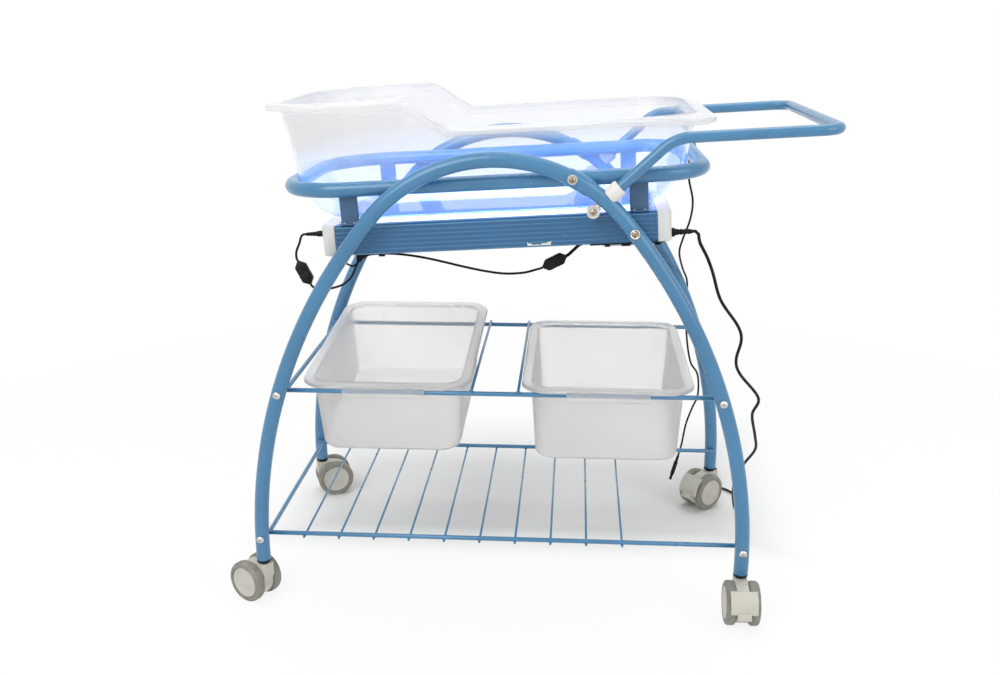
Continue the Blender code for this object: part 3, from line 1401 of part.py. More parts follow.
def settle_origin(root):
    """Puts the origin under the middle of the object, cords left out."""
    bpy.context.view_layer.update()
    graph = bpy.context.evaluated_depsgraph_get()
    low = Vector((1e9, 1e9, 1e9))
    high = -low
    for node in NODES:
        if node in CORD_NODES:
            continue
        shape = node.evaluated_get(graph)
        mesh = shape.to_mesh()
        for vert in mesh.vertices:
            place = shape.matrix_world @ vert.co
            low = Vector(map(min, low, place))
            high = Vector(map(max, high, place))
        shape.to_mesh_clear()
    root.location = -Vector(((low.x + high.x) / 2, (low.y + high.y) / 2, low.z))
    bpy.context.view_layer.update()
    print("box", [round(v, 5) for v in high - low], "moved by", [round(v, 6) for v in root.location])


def main():
    clear_scene()
    finishes = {
        "blue": finish_material("blue paint", (0.10, 0.31, 0.56), 0.32),
        "box": finish_material("dark blue paint", (0.07, 0.22, 0.42), 0.38),
        "white": finish_material("white plastic", (0.86, 0.86, 0.84), 0.4),
        "cream": finish_material("cream nylon", (0.74, 0.72, 0.66), 0.45),
        "tread": finish_material("grey tread", (0.30, 0.29, 0.27), 0.7),
        "black": finish_material("black plastic", (0.02, 0.02, 0.02), 0.5),
        "steel": finish_material("zinc screw", (0.62, 0.60, 0.56), 0.3, 1.0),
        "clear": finish_material("clear acrylic", (0.93, 0.95, 0.98), 0.08, 0.0, 0.3),
        "milky": finish_material("milky polypropylene", (0.90, 0.90, 0.89), 0.4, 0.0, 0.6),
        "led": finish_material("light strip", (0.55, 0.70, 0.98), 0.4),
    }
    root = add_empty("phototherapy_bed")
    bed = add_empty("sloping_bed", root, (0, 0, BED_Z), (0, -BED_TILT, 0))
    build_arches(root, finishes["blue"])
    build_cross_tube(root, finishes["blue"])
    build_handle(root, finishes["blue"], finishes["white"], finishes["steel"])
    build_frame_screws(root, finishes["steel"])
    wires = [LOWER_WIRE_START + i * LOWER_WIRE_PITCH for i in range(LOWER_WIRE_COUNT)]
    build_rack("lower_rack", root, finishes["blue"], LOWER_RACK_Z, WIRE_D, wires, False)
    build_rack("upper_rack", root, finishes["blue"], UPPER_RACK_Z, ROD_D, UPPER_ROD_X, True)
    build_light_box(root, bed, finishes)
    build_ring(bed, finishes["blue"])
    build_basin(bed, finishes["clear"])
    build_bins(root, finishes["milky"])
    build_casters(root, finishes)
    build_mains_cord(root, bed, finishes["black"])
    build_thin_lead(root, bed, finishes["black"])
    build_dc_lead(root, bed, finishes["black"])
    settle_origin(root)


main()
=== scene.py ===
import math

import bmesh
import bpy
from mathutils import Matrix, Vector


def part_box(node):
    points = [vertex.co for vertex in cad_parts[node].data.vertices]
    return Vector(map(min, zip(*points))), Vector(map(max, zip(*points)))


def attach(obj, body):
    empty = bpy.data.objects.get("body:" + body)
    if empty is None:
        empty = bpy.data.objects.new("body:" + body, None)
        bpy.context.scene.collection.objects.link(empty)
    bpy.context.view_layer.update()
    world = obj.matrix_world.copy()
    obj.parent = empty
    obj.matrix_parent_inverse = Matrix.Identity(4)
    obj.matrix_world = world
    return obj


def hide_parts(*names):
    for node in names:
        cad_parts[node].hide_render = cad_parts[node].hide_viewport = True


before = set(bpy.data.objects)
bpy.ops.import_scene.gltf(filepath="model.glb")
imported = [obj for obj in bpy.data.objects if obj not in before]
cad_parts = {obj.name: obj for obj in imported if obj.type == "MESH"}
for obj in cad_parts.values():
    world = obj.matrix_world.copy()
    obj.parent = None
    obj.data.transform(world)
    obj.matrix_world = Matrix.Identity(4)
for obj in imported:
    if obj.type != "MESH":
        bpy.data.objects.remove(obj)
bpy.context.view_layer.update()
scene = bpy.context.scene
scene.view_settings.view_transform = "Standard"
fit = 0.0003  # gap between pieces that touch


def middleOf(node):
    low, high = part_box(node)
    return (low + high) / 2


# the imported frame's origin, seen from the drawing's own
shift = (middleOf("front_left_collar") + middleOf("rear_right_collar")) / 2
shift.z = 0

bedSlope = math.radians(3.2)
bedZ = 0.645  # underside of the light box at X = 0
bedPlace = Matrix.Translation((0, 0, bedZ)) @ Matrix.Rotation(-bedSlope, 4, "Y")

# camera at the photograph's angle
photoView = {"place": (0.12486, -1.86969, 1.01194), "turn": (72.8362, 0.3149, 4.071), "lens": 37.8}
bpy.ops.object.select_all(action="DESELECT")
bpy.ops.object.camera_add(
    location=Vector(photoView["place"]) + shift,
    rotation=[math.radians(a) for a in photoView["turn"]],
)
camera = bpy.context.object
camera.data.sensor_width = 36
camera.data.lens = photoView["lens"]
scene.camera = camera
print("camera set")


# small tools for modelling
def addOutline(name, points, filled=True):
    bpy.ops.object.select_all(action="DESELECT")
    bpy.ops.mesh.primitive_circle_add(vertices=len(points), fill_type="NGON" if filled else "NOTHING")
    piece = bpy.context.object
    piece.name = name
    piece.data.name = name
    for vert, point in zip(piece.data.vertices, points):
        vert.co = point
    return piece


def turnOutwards():
    bpy.ops.mesh.select_all(action="SELECT")
    bpy.ops.mesh.remove_doubles(threshold=1e-6)
    bpy.ops.mesh.normals_make_consistent(inside=False)
    bpy.ops.object.mode_set(mode="OBJECT")


def pull(name, points, depth):  # a flat outline pulled out by a vector
    piece = addOutline(name, points)
    bpy.ops.object.mode_set(mode="EDIT")
    bpy.ops.mesh.select_all(action="SELECT")
    bpy.ops.mesh.extrude_region_move(TRANSFORM_OT_translate={"value": depth})
    turnOutwards()
    return piece


def growRings(name, rings):  # extrudes the first ring's face from ring to ring
    piece = addOutline(name, rings[0])
    bpy.ops.object.mode_set(mode="EDIT")
    mesh = bmesh.from_edit_mesh(piece.data)
    mesh.verts.index_update()
    station = mesh.verts.layers.int.new("station")
    for vert in mesh.verts:
        vert[station] = vert.index
    bmesh.update_edit_mesh(piece.data)
    bpy.ops.mesh.select_all(action="SELECT")
    for ring in rings[1:]:
        bpy.ops.mesh.extrude_region_move()
        mesh = bmesh.from_edit_mesh(piece.data)
        station = mesh.verts.layers.int["station"]
        for vert in mesh.verts:
            if vert.select:
                vert.co = ring[vert[station]]
        bmesh.update_edit_mesh(piece.data)
    turnOutwards()
    piece.data.attributes.remove(piece.data.attributes["station"])
    return piece


def lathe(name, profile, origin, axis, steps=48, closed=False):  # (radius, height) points spun round
    axis = Vector(axis).normalized()
    origin = Vector(origin)
    side = axis.orthogonal().normalized()
    piece = addOutline(name, [origin + side * r + axis * h for r, h in profile], False)
    last = len(profile) - 1
    bpy.ops.object.mode_set(mode="EDIT")
    if not closed:
        bpy.ops.mesh.select_all(action="DESELECT")
        mesh = bmesh.from_edit_mesh(piece.data)
        for edge in mesh.edges:
            edge.select = {v.index for v in edge.verts} == {0, last}
        bmesh.update_edit_mesh(piece.data)
        bpy.ops.mesh.delete(type="EDGE")
    bpy.ops.mesh.select_all(action="SELECT")
    bpy.ops.mesh.spin(steps=steps, angle=math.tau, center=origin, axis=axis)
    turnOutwards()
    return piece


def newCurve(name, thickness, resolution):
    bpy.ops.object.select_all(action="DESELECT")
    bpy.ops.curve.primitive_bezier_curve_add()
    piece = bpy.context.object
    piece.name = name
    curve = piece.data
    curve.name = name
    curve.splines.clear()
    curve.dimensions = "3D"
    curve.bevel_depth = thickness
    curve.bevel_resolution = resolution
    curve.use_fill_caps = True
    return piece


def addLine(piece, points):
    line = piece.data.splines.new("POLY")
    line.points.add(len(points) - 1)
    for spot, point in zip(line.points, points):
        spot.co = (*point, 1)
    return line


def bentTubes(name, lines, sides=24):  # each line: points, radii, whether it closes
    piece = newCurve(name, 1.0, (sides - 4) // 2)
    for points, radii, ring in lines:
        line = addLine(piece, points)
        line.use_cyclic_u = ring
        for i, spot in enumerate(line.points):
            spot.radius = radii[i] if isinstance(radii, (list, tuple)) else radii
    bpy.ops.object.convert(target="MESH")
    piece = bpy.context.object
    bpy.ops.object.mode_set(mode="EDIT")
    turnOutwards()
    return piece


def pick(piece):
    bpy.ops.object.select_all(action="DESELECT")
    piece.select_set(True)
    bpy.context.view_layer.objects.active = piece


def discard(*pieces):
    for piece in pieces:
        bpy.data.objects.remove(piece, do_unlink=True)


def applySteps(piece):
    pick(piece)
    for step in [s.name for s in piece.modifiers]:
        bpy.ops.object.modifier_apply(modifier=step)


def addBevel(piece, width, segments, limit):
    step = piece.modifiers.new("soft edges", "BEVEL")
    step.width = width
    step.segments = segments
    step.limit_method = "ANGLE"
    step.angle_limit = math.radians(limit)


def soften(piece, width, segments=3, limit=35):
    addBevel(piece, width, segments, limit)
    applySteps(piece)


def combine(piece, tool, operation):  # joins or cuts with another piece, which goes
    step = piece.modifiers.new("shape", "BOOLEAN")
    step.operation = operation
    step.solver = "EXACT"
    step.object = tool
    applySteps(piece)
    discard(tool)


def joined(name, parts):
    bpy.ops.object.select_all(action="DESELECT")
    for part in parts:
        part.select_set(True)
    bpy.context.view_layer.objects.active = parts[0]
    bpy.ops.object.join()
    piece = bpy.context.object
    piece.name = name
    return piece


def copied(piece, name, place):
    made = piece.copy()
    made.data = piece.data.copy()
    made.name = name
    made.data.name = name
    made.data.transform(place)
    scene.collection.objects.link(made)
    return made


def settle(piece, body, finish, slotName, *nodes, angle=35):  # last step of every piece
    piece.data.transform(Matrix.Translation(shift))
    piece.data.materials.clear()
    piece.data.materials.append(finish)
    pick(piece)
    bpy.ops.object.shade_smooth_by_angle(angle=math.radians(angle))
    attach(piece, body)
    if nodes:
        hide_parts(*nodes)
    return piece


def settleOnBed(piece, *what, **how):  # for pieces drawn level and then sloped with the bed
    piece.data.transform(bedPlace)
    return settle(piece, *what, **how)


def flatBox(x0, x1, y0, y1, z):  # corners of a level rectangle
    return [(x0, y0, z), (x1, y0, z), (x1, y1, z), (x0, y1, z)]


def domed(radius, height, step, base=0):  # quarter round from the top down, as (radius, height) points
    turns = [math.radians(d) for d in range(0, 91, step)]
    return [(radius * math.sin(a), height * (base + (1 - base) * math.cos(a))) for a in turns]


def arcPoints(centre, radius, start, end, steps):
    turns = [start + (end - start) * i / steps for i in range(steps + 1)]
    return [(centre[0] + radius * math.cos(a), centre[1] + radius * math.sin(a)) for a in turns]


def roundedPath(corners, radii, steps):
    path = [Vector(corners[0])]
    for before, at, after, radius in zip(corners, corners[1:], corners[2:], radii):
        at = Vector(at)
        back = (Vector(before) - at).normalized()
        ahead = (Vector(after) - at).normalized()
        half = back.angle(ahead) / 2
        centre = at + (back + ahead).normalized() * (radius / math.sin(half))
        first = at + back * (radius / math.tan(half)) - centre
        axis = ahead.cross(back).normalized()
        for i in range(steps + 1):
            path.append(centre + Matrix.Rotation((math.pi - 2 * half) * i / steps, 3, axis) @ first)
    path.append(Vector(corners[-1]))
    return path


def roundedBox(x0, x1, halfW, r0, r1, steps, stops=()):  # rounded rectangle with stops on its long sides
    top = arcPoints((x1 - r1, halfW - r1), r1, 0, math.pi / 2, steps)
    top += [(x, halfW) for x in sorted(stops, reverse=True)]
    top += arcPoints((x0 + r0, halfW - r0), r0, math.pi / 2, math.pi, steps)
    return top + [(x, -y) for x, y in reversed(top)]


# tools for finishes
def newFinish(name, sockets):
    finish = bpy.data.materials.new(name)
    finish.use_nodes = True
    tree = finish.node_tree
    shader = tree.nodes["Principled BSDF"]
    for socket, value in sockets.items():
        shader.inputs[socket].default_value = value
    return finish, tree, shader


def addNode(tree, kind, sockets=None, **settings):
    node = tree.nodes.new(kind)
    for key, value in settings.items():
        setattr(node, key, value)
    for socket, value in (sockets or {}).items():
        node.inputs[socket].default_value = value
    return node


def placeOn(tree, scale=(1, 1, 1)):
    source = addNode(tree, "ShaderNodeTexCoord")
    mapping = addNode(tree, "ShaderNodeMapping", {"Scale": scale})
    tree.links.new(source.outputs["Object"], mapping.inputs["Vector"])
    return mapping.outputs["Vector"]


def bedAxes(tree):  # X along the bed, Y across it, Z above the light box's underside
    source = addNode(tree, "ShaderNodeTexCoord")
    turn = Matrix.Rotation(bedSlope, 3, "Y")
    settings = {"Rotation": (0, bedSlope, 0), "Location": turn @ -(shift + Vector((0, 0, bedZ)))}
    mapping = addNode(tree, "ShaderNodeMapping", settings)
    tree.links.new(source.outputs["Object"], mapping.inputs["Vector"])
    parts = addNode(tree, "ShaderNodeSeparateXYZ")
    tree.links.new(mapping.outputs["Vector"], parts.inputs[0])
    return parts.outputs


def spread(tree, value, low, high, held=True):  # stretches low..high to 0..1
    node = addNode(tree, "ShaderNodeMapRange", {"From Min": low, "From Max": high}, clamp=held)
    tree.links.new(value, node.inputs["Value"])
    return node.outputs["Result"]


def maths(tree, operation, first, second=None):
    node = addNode(tree, "ShaderNodeMath", operation=operation)
    for socket, value in zip(node.inputs, (first, second)):
        if value is not None:
            tree.links.new(value, socket)
    return node.outputs[0]


def ramp(tree, factor, stops):
    node = addNode(tree, "ShaderNodeValToRGB")
    band = node.color_ramp
    while len(band.elements) < len(stops):
        band.elements.new(0.5)
    for element, (at, colour) in zip(band.elements, stops):
        element.position = at
        element.color = (*colour, 1) if isinstance(colour, tuple) else (colour, colour, colour, 1)
    tree.links.new(factor, node.inputs["Fac"])
    return node.outputs["Color"]


def noise(tree, place, scale, detail=3, rough=0.5):
    node = addNode(tree, "ShaderNodeTexNoise", {"Scale": scale, "Detail": detail, "Roughness": rough})
    tree.links.new(place, node.inputs["Vector"])
    return node.outputs["Fac"]


def mottled(tree, place, first, second, scale, detail=3, rough=0.5, at=(0.3, 0.7)):  # two tones by noise
    return ramp(tree, noise(tree, place, scale, detail, rough), [(at[0], first), (at[1], second)])


def blendColour(tree, factor, first, second):
    node = addNode(tree, "ShaderNodeMix", data_type="RGBA")
    tree.links.new(factor, node.inputs[0])
    for socket, value in ((node.inputs[6], first), (node.inputs[7], second)):
        if isinstance(value, tuple):
            socket.default_value = (*value, 1)
        else:
            tree.links.new(value, socket)
    return node.outputs[2]


def relief(tree, shader, place, scale, strength, distance, detail=2):  # fine bumps
    node = addNode(tree, "ShaderNodeBump", {"Strength": strength, "Distance": distance})
    tree.links.new(noise(tree, place, scale, detail), node.inputs["Height"])
    tree.links.new(node.outputs["Normal"], shader.inputs["Normal"])


def scratches(tree, shader, rough, wearAndRibHighlight):  # fine rubbing that scatters the gloss a little
    rub = mottled(tree, placeOn(tree, (1, 6, 1)), rough, wearAndRibHighlight, scale=70, detail=6, rough=0.7, at=(0.5, 0.85))
    tree.links.new(rub, shader.inputs["Roughness"])
    relief(tree, shader, placeOn(tree), scale=18, strength=0.012, distance=0.0004)


def shade(colour, share):
    return tuple(min(1.0, c * share) for c in colour)


def paintFinish(name, colour, rough, chips):  # enamel: orange peel, faint clouding, small pale chips
    finish, tree, shader = newFinish(name, {"Coat Weight": 0.35, "Coat Roughness": 0.12, "IOR": 1.5})
    place = placeOn(tree)
    clouds = mottled(tree, place, shade(colour, 0.9), shade(colour, 1.1), scale=9, detail=4)
    flecks = mottled(tree, place, 0.0, 1.0, scale=210, detail=5, rough=0.6, at=(chips, chips + 0.035))
    patches = mottled(tree, place, 0.0, 1.0, scale=17, detail=2, at=(0.5, 0.62))
    chipped = maths(tree, "MULTIPLY", flecks, patches)
    tree.links.new(blendColour(tree, chipped, clouds, (0.50, 0.60, 0.65)), shader.inputs["Base Color"])
    gloss = mottled(tree, place, rough - 0.05, rough + 0.07, scale=34)
    tree.links.new(gloss, shader.inputs["Roughness"])
    relief(tree, shader, place, scale=520, strength=0.10, distance=0.0006)
    return finish


boxRibs = {"first": 0.00525, "pitch": 0.0075, "edges": (0.33, 0.40, 0.60, 0.67)}


def boxFinish(colour, wearAndRibHighlight):  # the same enamel, with a painted highlight: paler lines along the ribs' edges stand in for light caught there
    finish = paintFinish("dark blue enamel", colour, rough=0.36, chips=0.72)
    tree = finish.node_tree
    shader = tree.nodes["Principled BSDF"]
    paint = shader.inputs["Base Color"].links[0].from_socket
    first = boxRibs["first"]
    phase = maths(tree, "FRACT", spread(tree, bedAxes(tree)["Z"], first, first + boxRibs["pitch"], False))
    # painted highlight: a paler tone along each rib's edges, where light would catch
    lines = ramp(tree, phase, list(zip(boxRibs["edges"], (0.0, 1.0, 1.0, 0.0))))
    tree.links.new(blendColour(tree, lines, paint, wearAndRibHighlight), shader.inputs["Base Color"])
    return finish


def mouldedFinish(name, colour, rough, grime, grimeShare):  # moulded plastic with a little dirt
    finish, tree, shader = newFinish(name, {"IOR": 1.47})
    place = placeOn(tree)
    dirt = mottled(tree, place, 0.0, grimeShare, scale=38, detail=6, rough=0.65, at=(0.46, 0.82))
    tone = mottled(tree, place, shade(colour, 0.95), shade(colour, 1.04), scale=11)
    tree.links.new(blendColour(tree, dirt, tone, grime), shader.inputs["Base Color"])
    gloss = mottled(tree, place, rough - 0.05, rough + 0.08, scale=60)
    tree.links.new(gloss, shader.inputs["Roughness"])
    relief(tree, shader, place, scale=1400, strength=0.12, distance=0.0003)
    return finish


def rubberFinish(name, colour, rough):  # treads and cords: dusty, a little uneven
    finish, tree, shader = newFinish(name, {"IOR": 1.45, "Sheen Weight": 0.08, "Sheen Roughness": 0.5})
    place = placeOn(tree)
    tone = mottled(tree, place, shade(colour, 0.8), shade(colour, 1.25), scale=55, detail=5, at=(0.3, 0.72))
    tree.links.new(tone, shader.inputs["Base Color"])
    gloss = mottled(tree, place, rough - 0.08, rough + 0.08, scale=90)
    tree.links.new(gloss, shader.inputs["Roughness"])
    relief(tree, shader, place, scale=900, strength=0.15, distance=0.0004, detail=3)
    return finish


def metalFinish(name, colour, stain, stainAt):  # plated steel with brown staining
    finish, tree, shader = newFinish(name, {"Metallic": 1.0})
    place = placeOn(tree)
    spots = mottled(tree, place, 0.0, 0.85, scale=240, detail=5, rough=0.6, at=(stainAt, stainAt + 0.16))
    tree.links.new(blendColour(tree, spots, colour, stain), shader.inputs["Base Color"])
    gloss = mottled(tree, place, 0.2, 0.48, scale=330, detail=4, at=(0.3, 0.75))
    tree.links.new(gloss, shader.inputs["Roughness"])
    relief(tree, shader, place, scale=1500, strength=0.12, distance=0.0003)
    return finish


tubTones = {
    "heights": (0.05, 0.25), "hoodRun": (-0.22, -0.06), "milkRise": (0.38, 0.60),
    "clear": 0.972, "hoodClear": 0.84, "rimClear": 0.68,
    "hood": (0.835, 0.832, 0.826), "rim": (0.805, 0.805, 0.808), "patches": (0.98, 0.98, 0.985),
    "wall": ((0.10, (0.92, 0.94, 0.98)), (0.22, (0.938, 0.960, 0.985)), (0.5, (0.918, 0.932, 0.958))),
    # painted glow: emission colour by height, so the tub's foot glows blue though it is no lamp
    "glow": (
        (0.0, (0.01, 0.03, 0.12)), (0.022, (0.01, 0.03, 0.12)), (0.035, (0.0, 0.03, 0.32)),
        (0.065, (0.01, 0.03, 0.26)), (0.13, (0.01, 0.03, 0.15)), (0.28, (0.003, 0.03, 0.13)),
        (0.42, (0.0, 0.02, 0.09)), (0.62, (0.0, 0.0, 0.0)),
    ),
}


def tubFinish():  # clear moulding, milkier at hood and rim, with a painted blue glow in its foot that stands in for the lamps' light
    finish, tree, shader = newFinish("clear tub", {"IOR": 1.22, "Emission Strength": 1.0})
    axes = bedAxes(tree)
    level = spread(tree, axes["Z"], *tubTones["heights"])
    rim = addNode(tree, "ShaderNodeAttribute", attribute_name="rim").outputs["Fac"]
    hooded = ramp(tree, spread(tree, axes["X"], *tubTones["hoodRun"]), [(0.0, 1.0), (1.0, 0.0)])
    milk = maths(tree, "MULTIPLY", spread(tree, level, *tubTones["milkRise"]), hooded)
    clear = ramp(tree, milk, [(0.0, tubTones["clear"]), (1.0, tubTones["hoodClear"])])
    cloud = mottled(tree, placeOn(tree), 0.985, 1.0, scale=6, detail=4)
    solid = ramp(tree, rim, [(0.0, 1.0), (1.0, tubTones["rimClear"])])
    through = maths(tree, "MULTIPLY", maths(tree, "MULTIPLY", clear, cloud), solid)
    tree.links.new(through, shader.inputs["Transmission Weight"])
    tone = ramp(tree, level, tubTones["wall"])
    tone = blendColour(tree, milk, tone, tubTones["hood"])
    tone = blendColour(tree, rim, tone, tubTones["rim"])
    patches = mottled(tree, placeOn(tree), 0.0, 0.10, scale=11)
    tree.links.new(blendColour(tree, patches, tone, tubTones["patches"]), shader.inputs["Base Color"])
    # painted glow: the lamps' light shown as the tub's own emission
    tree.links.new(ramp(tree, level, tubTones["glow"]), shader.inputs["Emission Color"])
    scratches(tree, shader, rough=0.015, wearAndRibHighlight=0.09)
    return finish


def coverFinish():  # clear sheet over the lamps
    finish, tree, shader = newFinish("clear cover", {"IOR": 1.3, "Transmission Weight": 0.98})
    tone = mottled(tree, placeOn(tree), (0.96, 0.98, 0.99), (0.98, 0.99, 1.0), scale=13)
    tree.links.new(tone, shader.inputs["Base Color"])
    scratches(tree, shader, rough=0.02, wearAndRibHighlight=0.1)
    return finish


def milkyFinish():  # thin translucent moulding: soft light through the walls, faint flow marks
    finish, tree, shader = newFinish("milky bin", {
        "IOR": 1.2, "Subsurface Weight": 0.75, "Subsurface Radius": (1.0, 0.99, 0.96),
        "Subsurface Scale": 0.012,
    })
    place = placeOn(tree)
    tree.links.new(mottled(tree, place, 0.78, 0.84, scale=8, detail=4), shader.inputs["Transmission Weight"])
    tone = mottled(tree, placeOn(tree, (1, 1, 0.2)), (0.945, 0.933, 0.912), (0.964, 0.952, 0.933), scale=14)
    tree.links.new(tone, shader.inputs["Base Color"])
    gloss = mottled(tree, place, 0.30, 0.42, scale=60, detail=4, at=(0.35, 0.75))
    tree.links.new(gloss, shader.inputs["Roughness"])
    relief(tree, shader, place, scale=600, strength=0.04, distance=0.0003)
    return finish


boardTones = {
    "strip": (0.74, 0.94, 1.0), "fade": (0.30, 0.60, 1.0), "dark": (0.08, 0.20, 0.85),
    "lilac": (0.44, 0.48, 0.97), "nearGap": (0.10, 0.22, 0.90), "gap": (0.12, 0.24, 0.92),
    "patches": (0.45, 0.66, 1.0), "halfW": 0.2, "glow": 2.6,
    "bands": (
        (0.13, "dark"), (0.165, "fade"), (0.19, "strip"), (0.405, "strip"), (0.425, "nearGap"), (0.47, "gap"),
        (0.50, "lilac"), (0.555, "lilac"), (0.58, "strip"), (0.81, "strip"), (0.835, "fade"), (0.87, "dark"),
    ),
}


def lightFinish():  # lit board: two bright strips on a blue ground
    finish, tree, shader = newFinish("lit board", {"Roughness": 0.4, "Emission Strength": boardTones["glow"]})
    edge = spread(tree, bedAxes(tree)["Y"], -boardTones["halfW"], boardTones["halfW"])
    tone = ramp(tree, edge, [(at, boardTones[band]) for at, band in boardTones["bands"]])
    patches = mottled(tree, placeOn(tree), 0.0, 0.12, scale=22, detail=2)
    tone = blendColour(tree, patches, tone, boardTones["patches"])
    tree.links.new(tone, shader.inputs["Base Color"])
    tree.links.new(tone, shader.inputs["Emission Color"])
    return finish


def chipFinish():  # the lamps themselves
    finish, tree, shader = newFinish("lamp chip", {"Roughness": 0.3, "Emission Strength": 2.4})
    tone = mottled(tree, placeOn(tree), (0.74, 0.93, 1.0), (0.84, 0.97, 1.0), scale=80, detail=2)
    tree.links.new(tone, shader.inputs["Base Color"])
    tree.links.new(tone, shader.inputs["Emission Color"])
    return finish


bluePaint = paintFinish("blue enamel", (0.049, 0.194, 0.362), rough=0.30, chips=0.69)
# painted shade: a darker copy of the blue enamel for the uprights, which sit in shade
shadedUprightPaint = paintFinish("upright enamel with painted shade", (0.034, 0.112, 0.220), rough=0.34, chips=0.72)
# the second tone is the painted highlight along the ribs' edges
boxPaint = boxFinish((0.016, 0.100, 0.228), wearAndRibHighlight=(0.075, 0.235, 0.41))
whitePlastic = mouldedFinish("white moulding", (0.69, 0.68, 0.655), 0.40, (0.48, 0.45, 0.39), grimeShare=0.18)
creamNylon = mouldedFinish("cream nylon", (0.56, 0.545, 0.475), 0.42, (0.36, 0.33, 0.27), grimeShare=0.30)
hubNylon = mouldedFinish("wheel hub nylon", (0.56, 0.54, 0.475), 0.45, (0.34, 0.31, 0.25), grimeShare=0.35)
greyTread = rubberFinish("grey tread", (0.235, 0.225, 0.193), rough=0.62)
blackPlastic = mouldedFinish("black moulding", (0.01, 0.01, 0.01), 0.42, (0.06, 0.055, 0.05), grimeShare=0.35)
blackCord = rubberFinish("black cord sheath", (0.009, 0.009, 0.009), rough=0.42)
for dull in (blackPlastic, blackCord):
    dull.node_tree.nodes["Principled BSDF"].inputs["Specular IOR Level"].default_value = 0.12
zincScrew = metalFinish("zinc screw", (0.66, 0.63, 0.57), (0.22, 0.13, 0.07), stainAt=0.58)
brightScrew = metalFinish("bright screw", (0.64, 0.63, 0.60), (0.26, 0.22, 0.18), stainAt=0.56)
rustyScrew = metalFinish("stained screw", (0.50, 0.43, 0.34), (0.16, 0.085, 0.04), stainAt=0.44)
clearAcrylic = tubFinish()
clearCover = coverFinish()
milkyPlastic = milkyFinish()
litBoard = lightFinish()
lampChip = chipFinish()
print("finishes made")

# cords, on the same routes as the solids
cordSizes = {"mains": 0.0055, "lead": 0.004, "tail": 0.0055, "finePoints": 24}


def bedPoint(x, y, z):
    return bedPlace @ Vector((x, y, z))


def pathLength(path):
    return sum((b - a).length for a, b in zip(path, path[1:]))


def smoothRoute(points, spacing):
    points = [Vector(p) for p in points]
    dense = []
    for i in range(1, len(points) - 2):
        first = points[i]
        second = points[i + 1]
        leave = (second - points[i - 1]) / 2
        arrive = (points[i + 2] - first) / 2
        if i == 1:
            leave = (first - points[0]).normalized() * (second - first).length
        if i == len(points) - 3:
            arrive = (points[-1] - second).normalized() * (second - first).length
        for k in range(cordSizes["finePoints"]):
            u = k / cordSizes["finePoints"]
            dense.append(
                first * (2 * u ** 3 - 3 * u ** 2 + 1) + leave * (u ** 3 - 2 * u ** 2 + u)
                + second * (3 * u ** 2 - 2 * u ** 3) + arrive * (u ** 3 - u ** 2)
            )
    dense.append(points[-2])
    steps = [0.0]
    for first, second in zip(dense, dense[1:]):
        steps.append(steps[-1] + (second - first).length)
    count = max(2, round(steps[-1] / spacing))
    even = [points[0]]
    k = 0
    for i in range(count + 1):
        want = steps[-1] * i / count
        while k < len(steps) - 2 and steps[k + 1] < want:
            k += 1
        span = max(steps[k + 1] - steps[k], 1e-9)
        even.append(dense[k].lerp(dense[k + 1], (want - steps[k]) / span))
    even.append(points[-1])
    return even


def cordCurve(name, path, diameter, *nodes):
    piece = newCurve(name, diameter / 2, 5)
    addLine(piece, [point + shift for point in path]).use_smooth = True
    piece.data.materials.append(blackCord)
    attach(piece, "frame")
    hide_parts(*nodes)
    return piece


def ribbedTail(head, long, start, wide, narrow, last):  # a plug's or gland's head, then its grooved sleeve
    groove = ((0.96, 0), (1, 0.08), (0.98, 0.5), (0.93, 0.56), (0.8, 0.6), (0.8, 0.95))
    ribs = 4
    length = long - start
    points = list(head)
    for i in range(ribs):
        r = wide + (narrow - wide) * i / ribs
        z = length * i / ribs
        points += [(r * share, z + length / ribs * along + start) for share, along in groove]
    return points + [(last, long), (0, long)]


lampBox = {
    "x0": -0.2655, "x1": 0.2585, "halfW": 0.199, "height": 0.050, "capLength": 0.023, "capRound": 0.013,
    "glandY": -0.172, "glandZ": 0.0092, "glandLength": 0.034, "glandTail": (0.008, 0.0052, 0.0040, 0.0034),
    "glandHead": (
        (0, -0.007), (0.0029, -0.007), (0.0029, fit), (0.0072, fit), (0.0075, 0.0006), (0.0075, 0.0046),
        (0.0070, 0.0052), (0.0062, 0.0065),
    ),
    "socketY": -0.150, "socketZ": 0.030, "plugLength": 0.038, "plugTail": (0.019, 0.0040, 0.0028, 0.0025),
    "plugHead": (
        (0, -0.007), (0.00275, -0.007), (0.00275, fit), (0.0044, fit), (0.0048, 0.0008), (0.0050, 0.0018),
        (0.0050, 0.0165), (0.0046, 0.0185), (0.0040, 0.019),
    ),
}
mains = {
    "route": (
        (0.329, -0.168, 0.652), (0.343, -0.160, 0.626), (0.355, -0.150, 0.597), (0.373, -0.132, 0.546),
        (0.407, -0.112, 0.496), (0.417, -0.100, 0.466), (0.413, -0.082, 0.424), (0.424, -0.066, 0.392),
        (0.465, -0.037, 0.336), (0.460, -0.014, 0.295), (0.474, 0.020, 0.239), (0.482, 0.050, 0.198),
        (0.468, 0.085, 0.150), (0.457, 0.115, 0.100), (0.460, 0.138, 0.055), (0.468, 0.160, 0.018),
        (0.478, 0.188, 0.0045), (0.486, 0.218, 0.0045), (0.483, 0.248, 0.0045), (0.469, 0.272, 0.0045),
        (0.453, 0.287, 0.0045),
    ),
    "coilCentre": (0.4175, 0.322), "coilRadius": 0.0275, "coilStep": 0.0062, "layerTurns": 2,
    "layerGap": 0.0006, "loopPoints": 24, "leadIn": (-0.002, 0.016, 0), "leadOut": 0.014,
    "tie": (0.0071, 0.0062), "tieHalfW": 0.002, "plugLength": 0.034, "plugShare": 1.35, "pinLength": 0.018,
    "pinR": 0.002, "pinPitch": 0.0124,
}


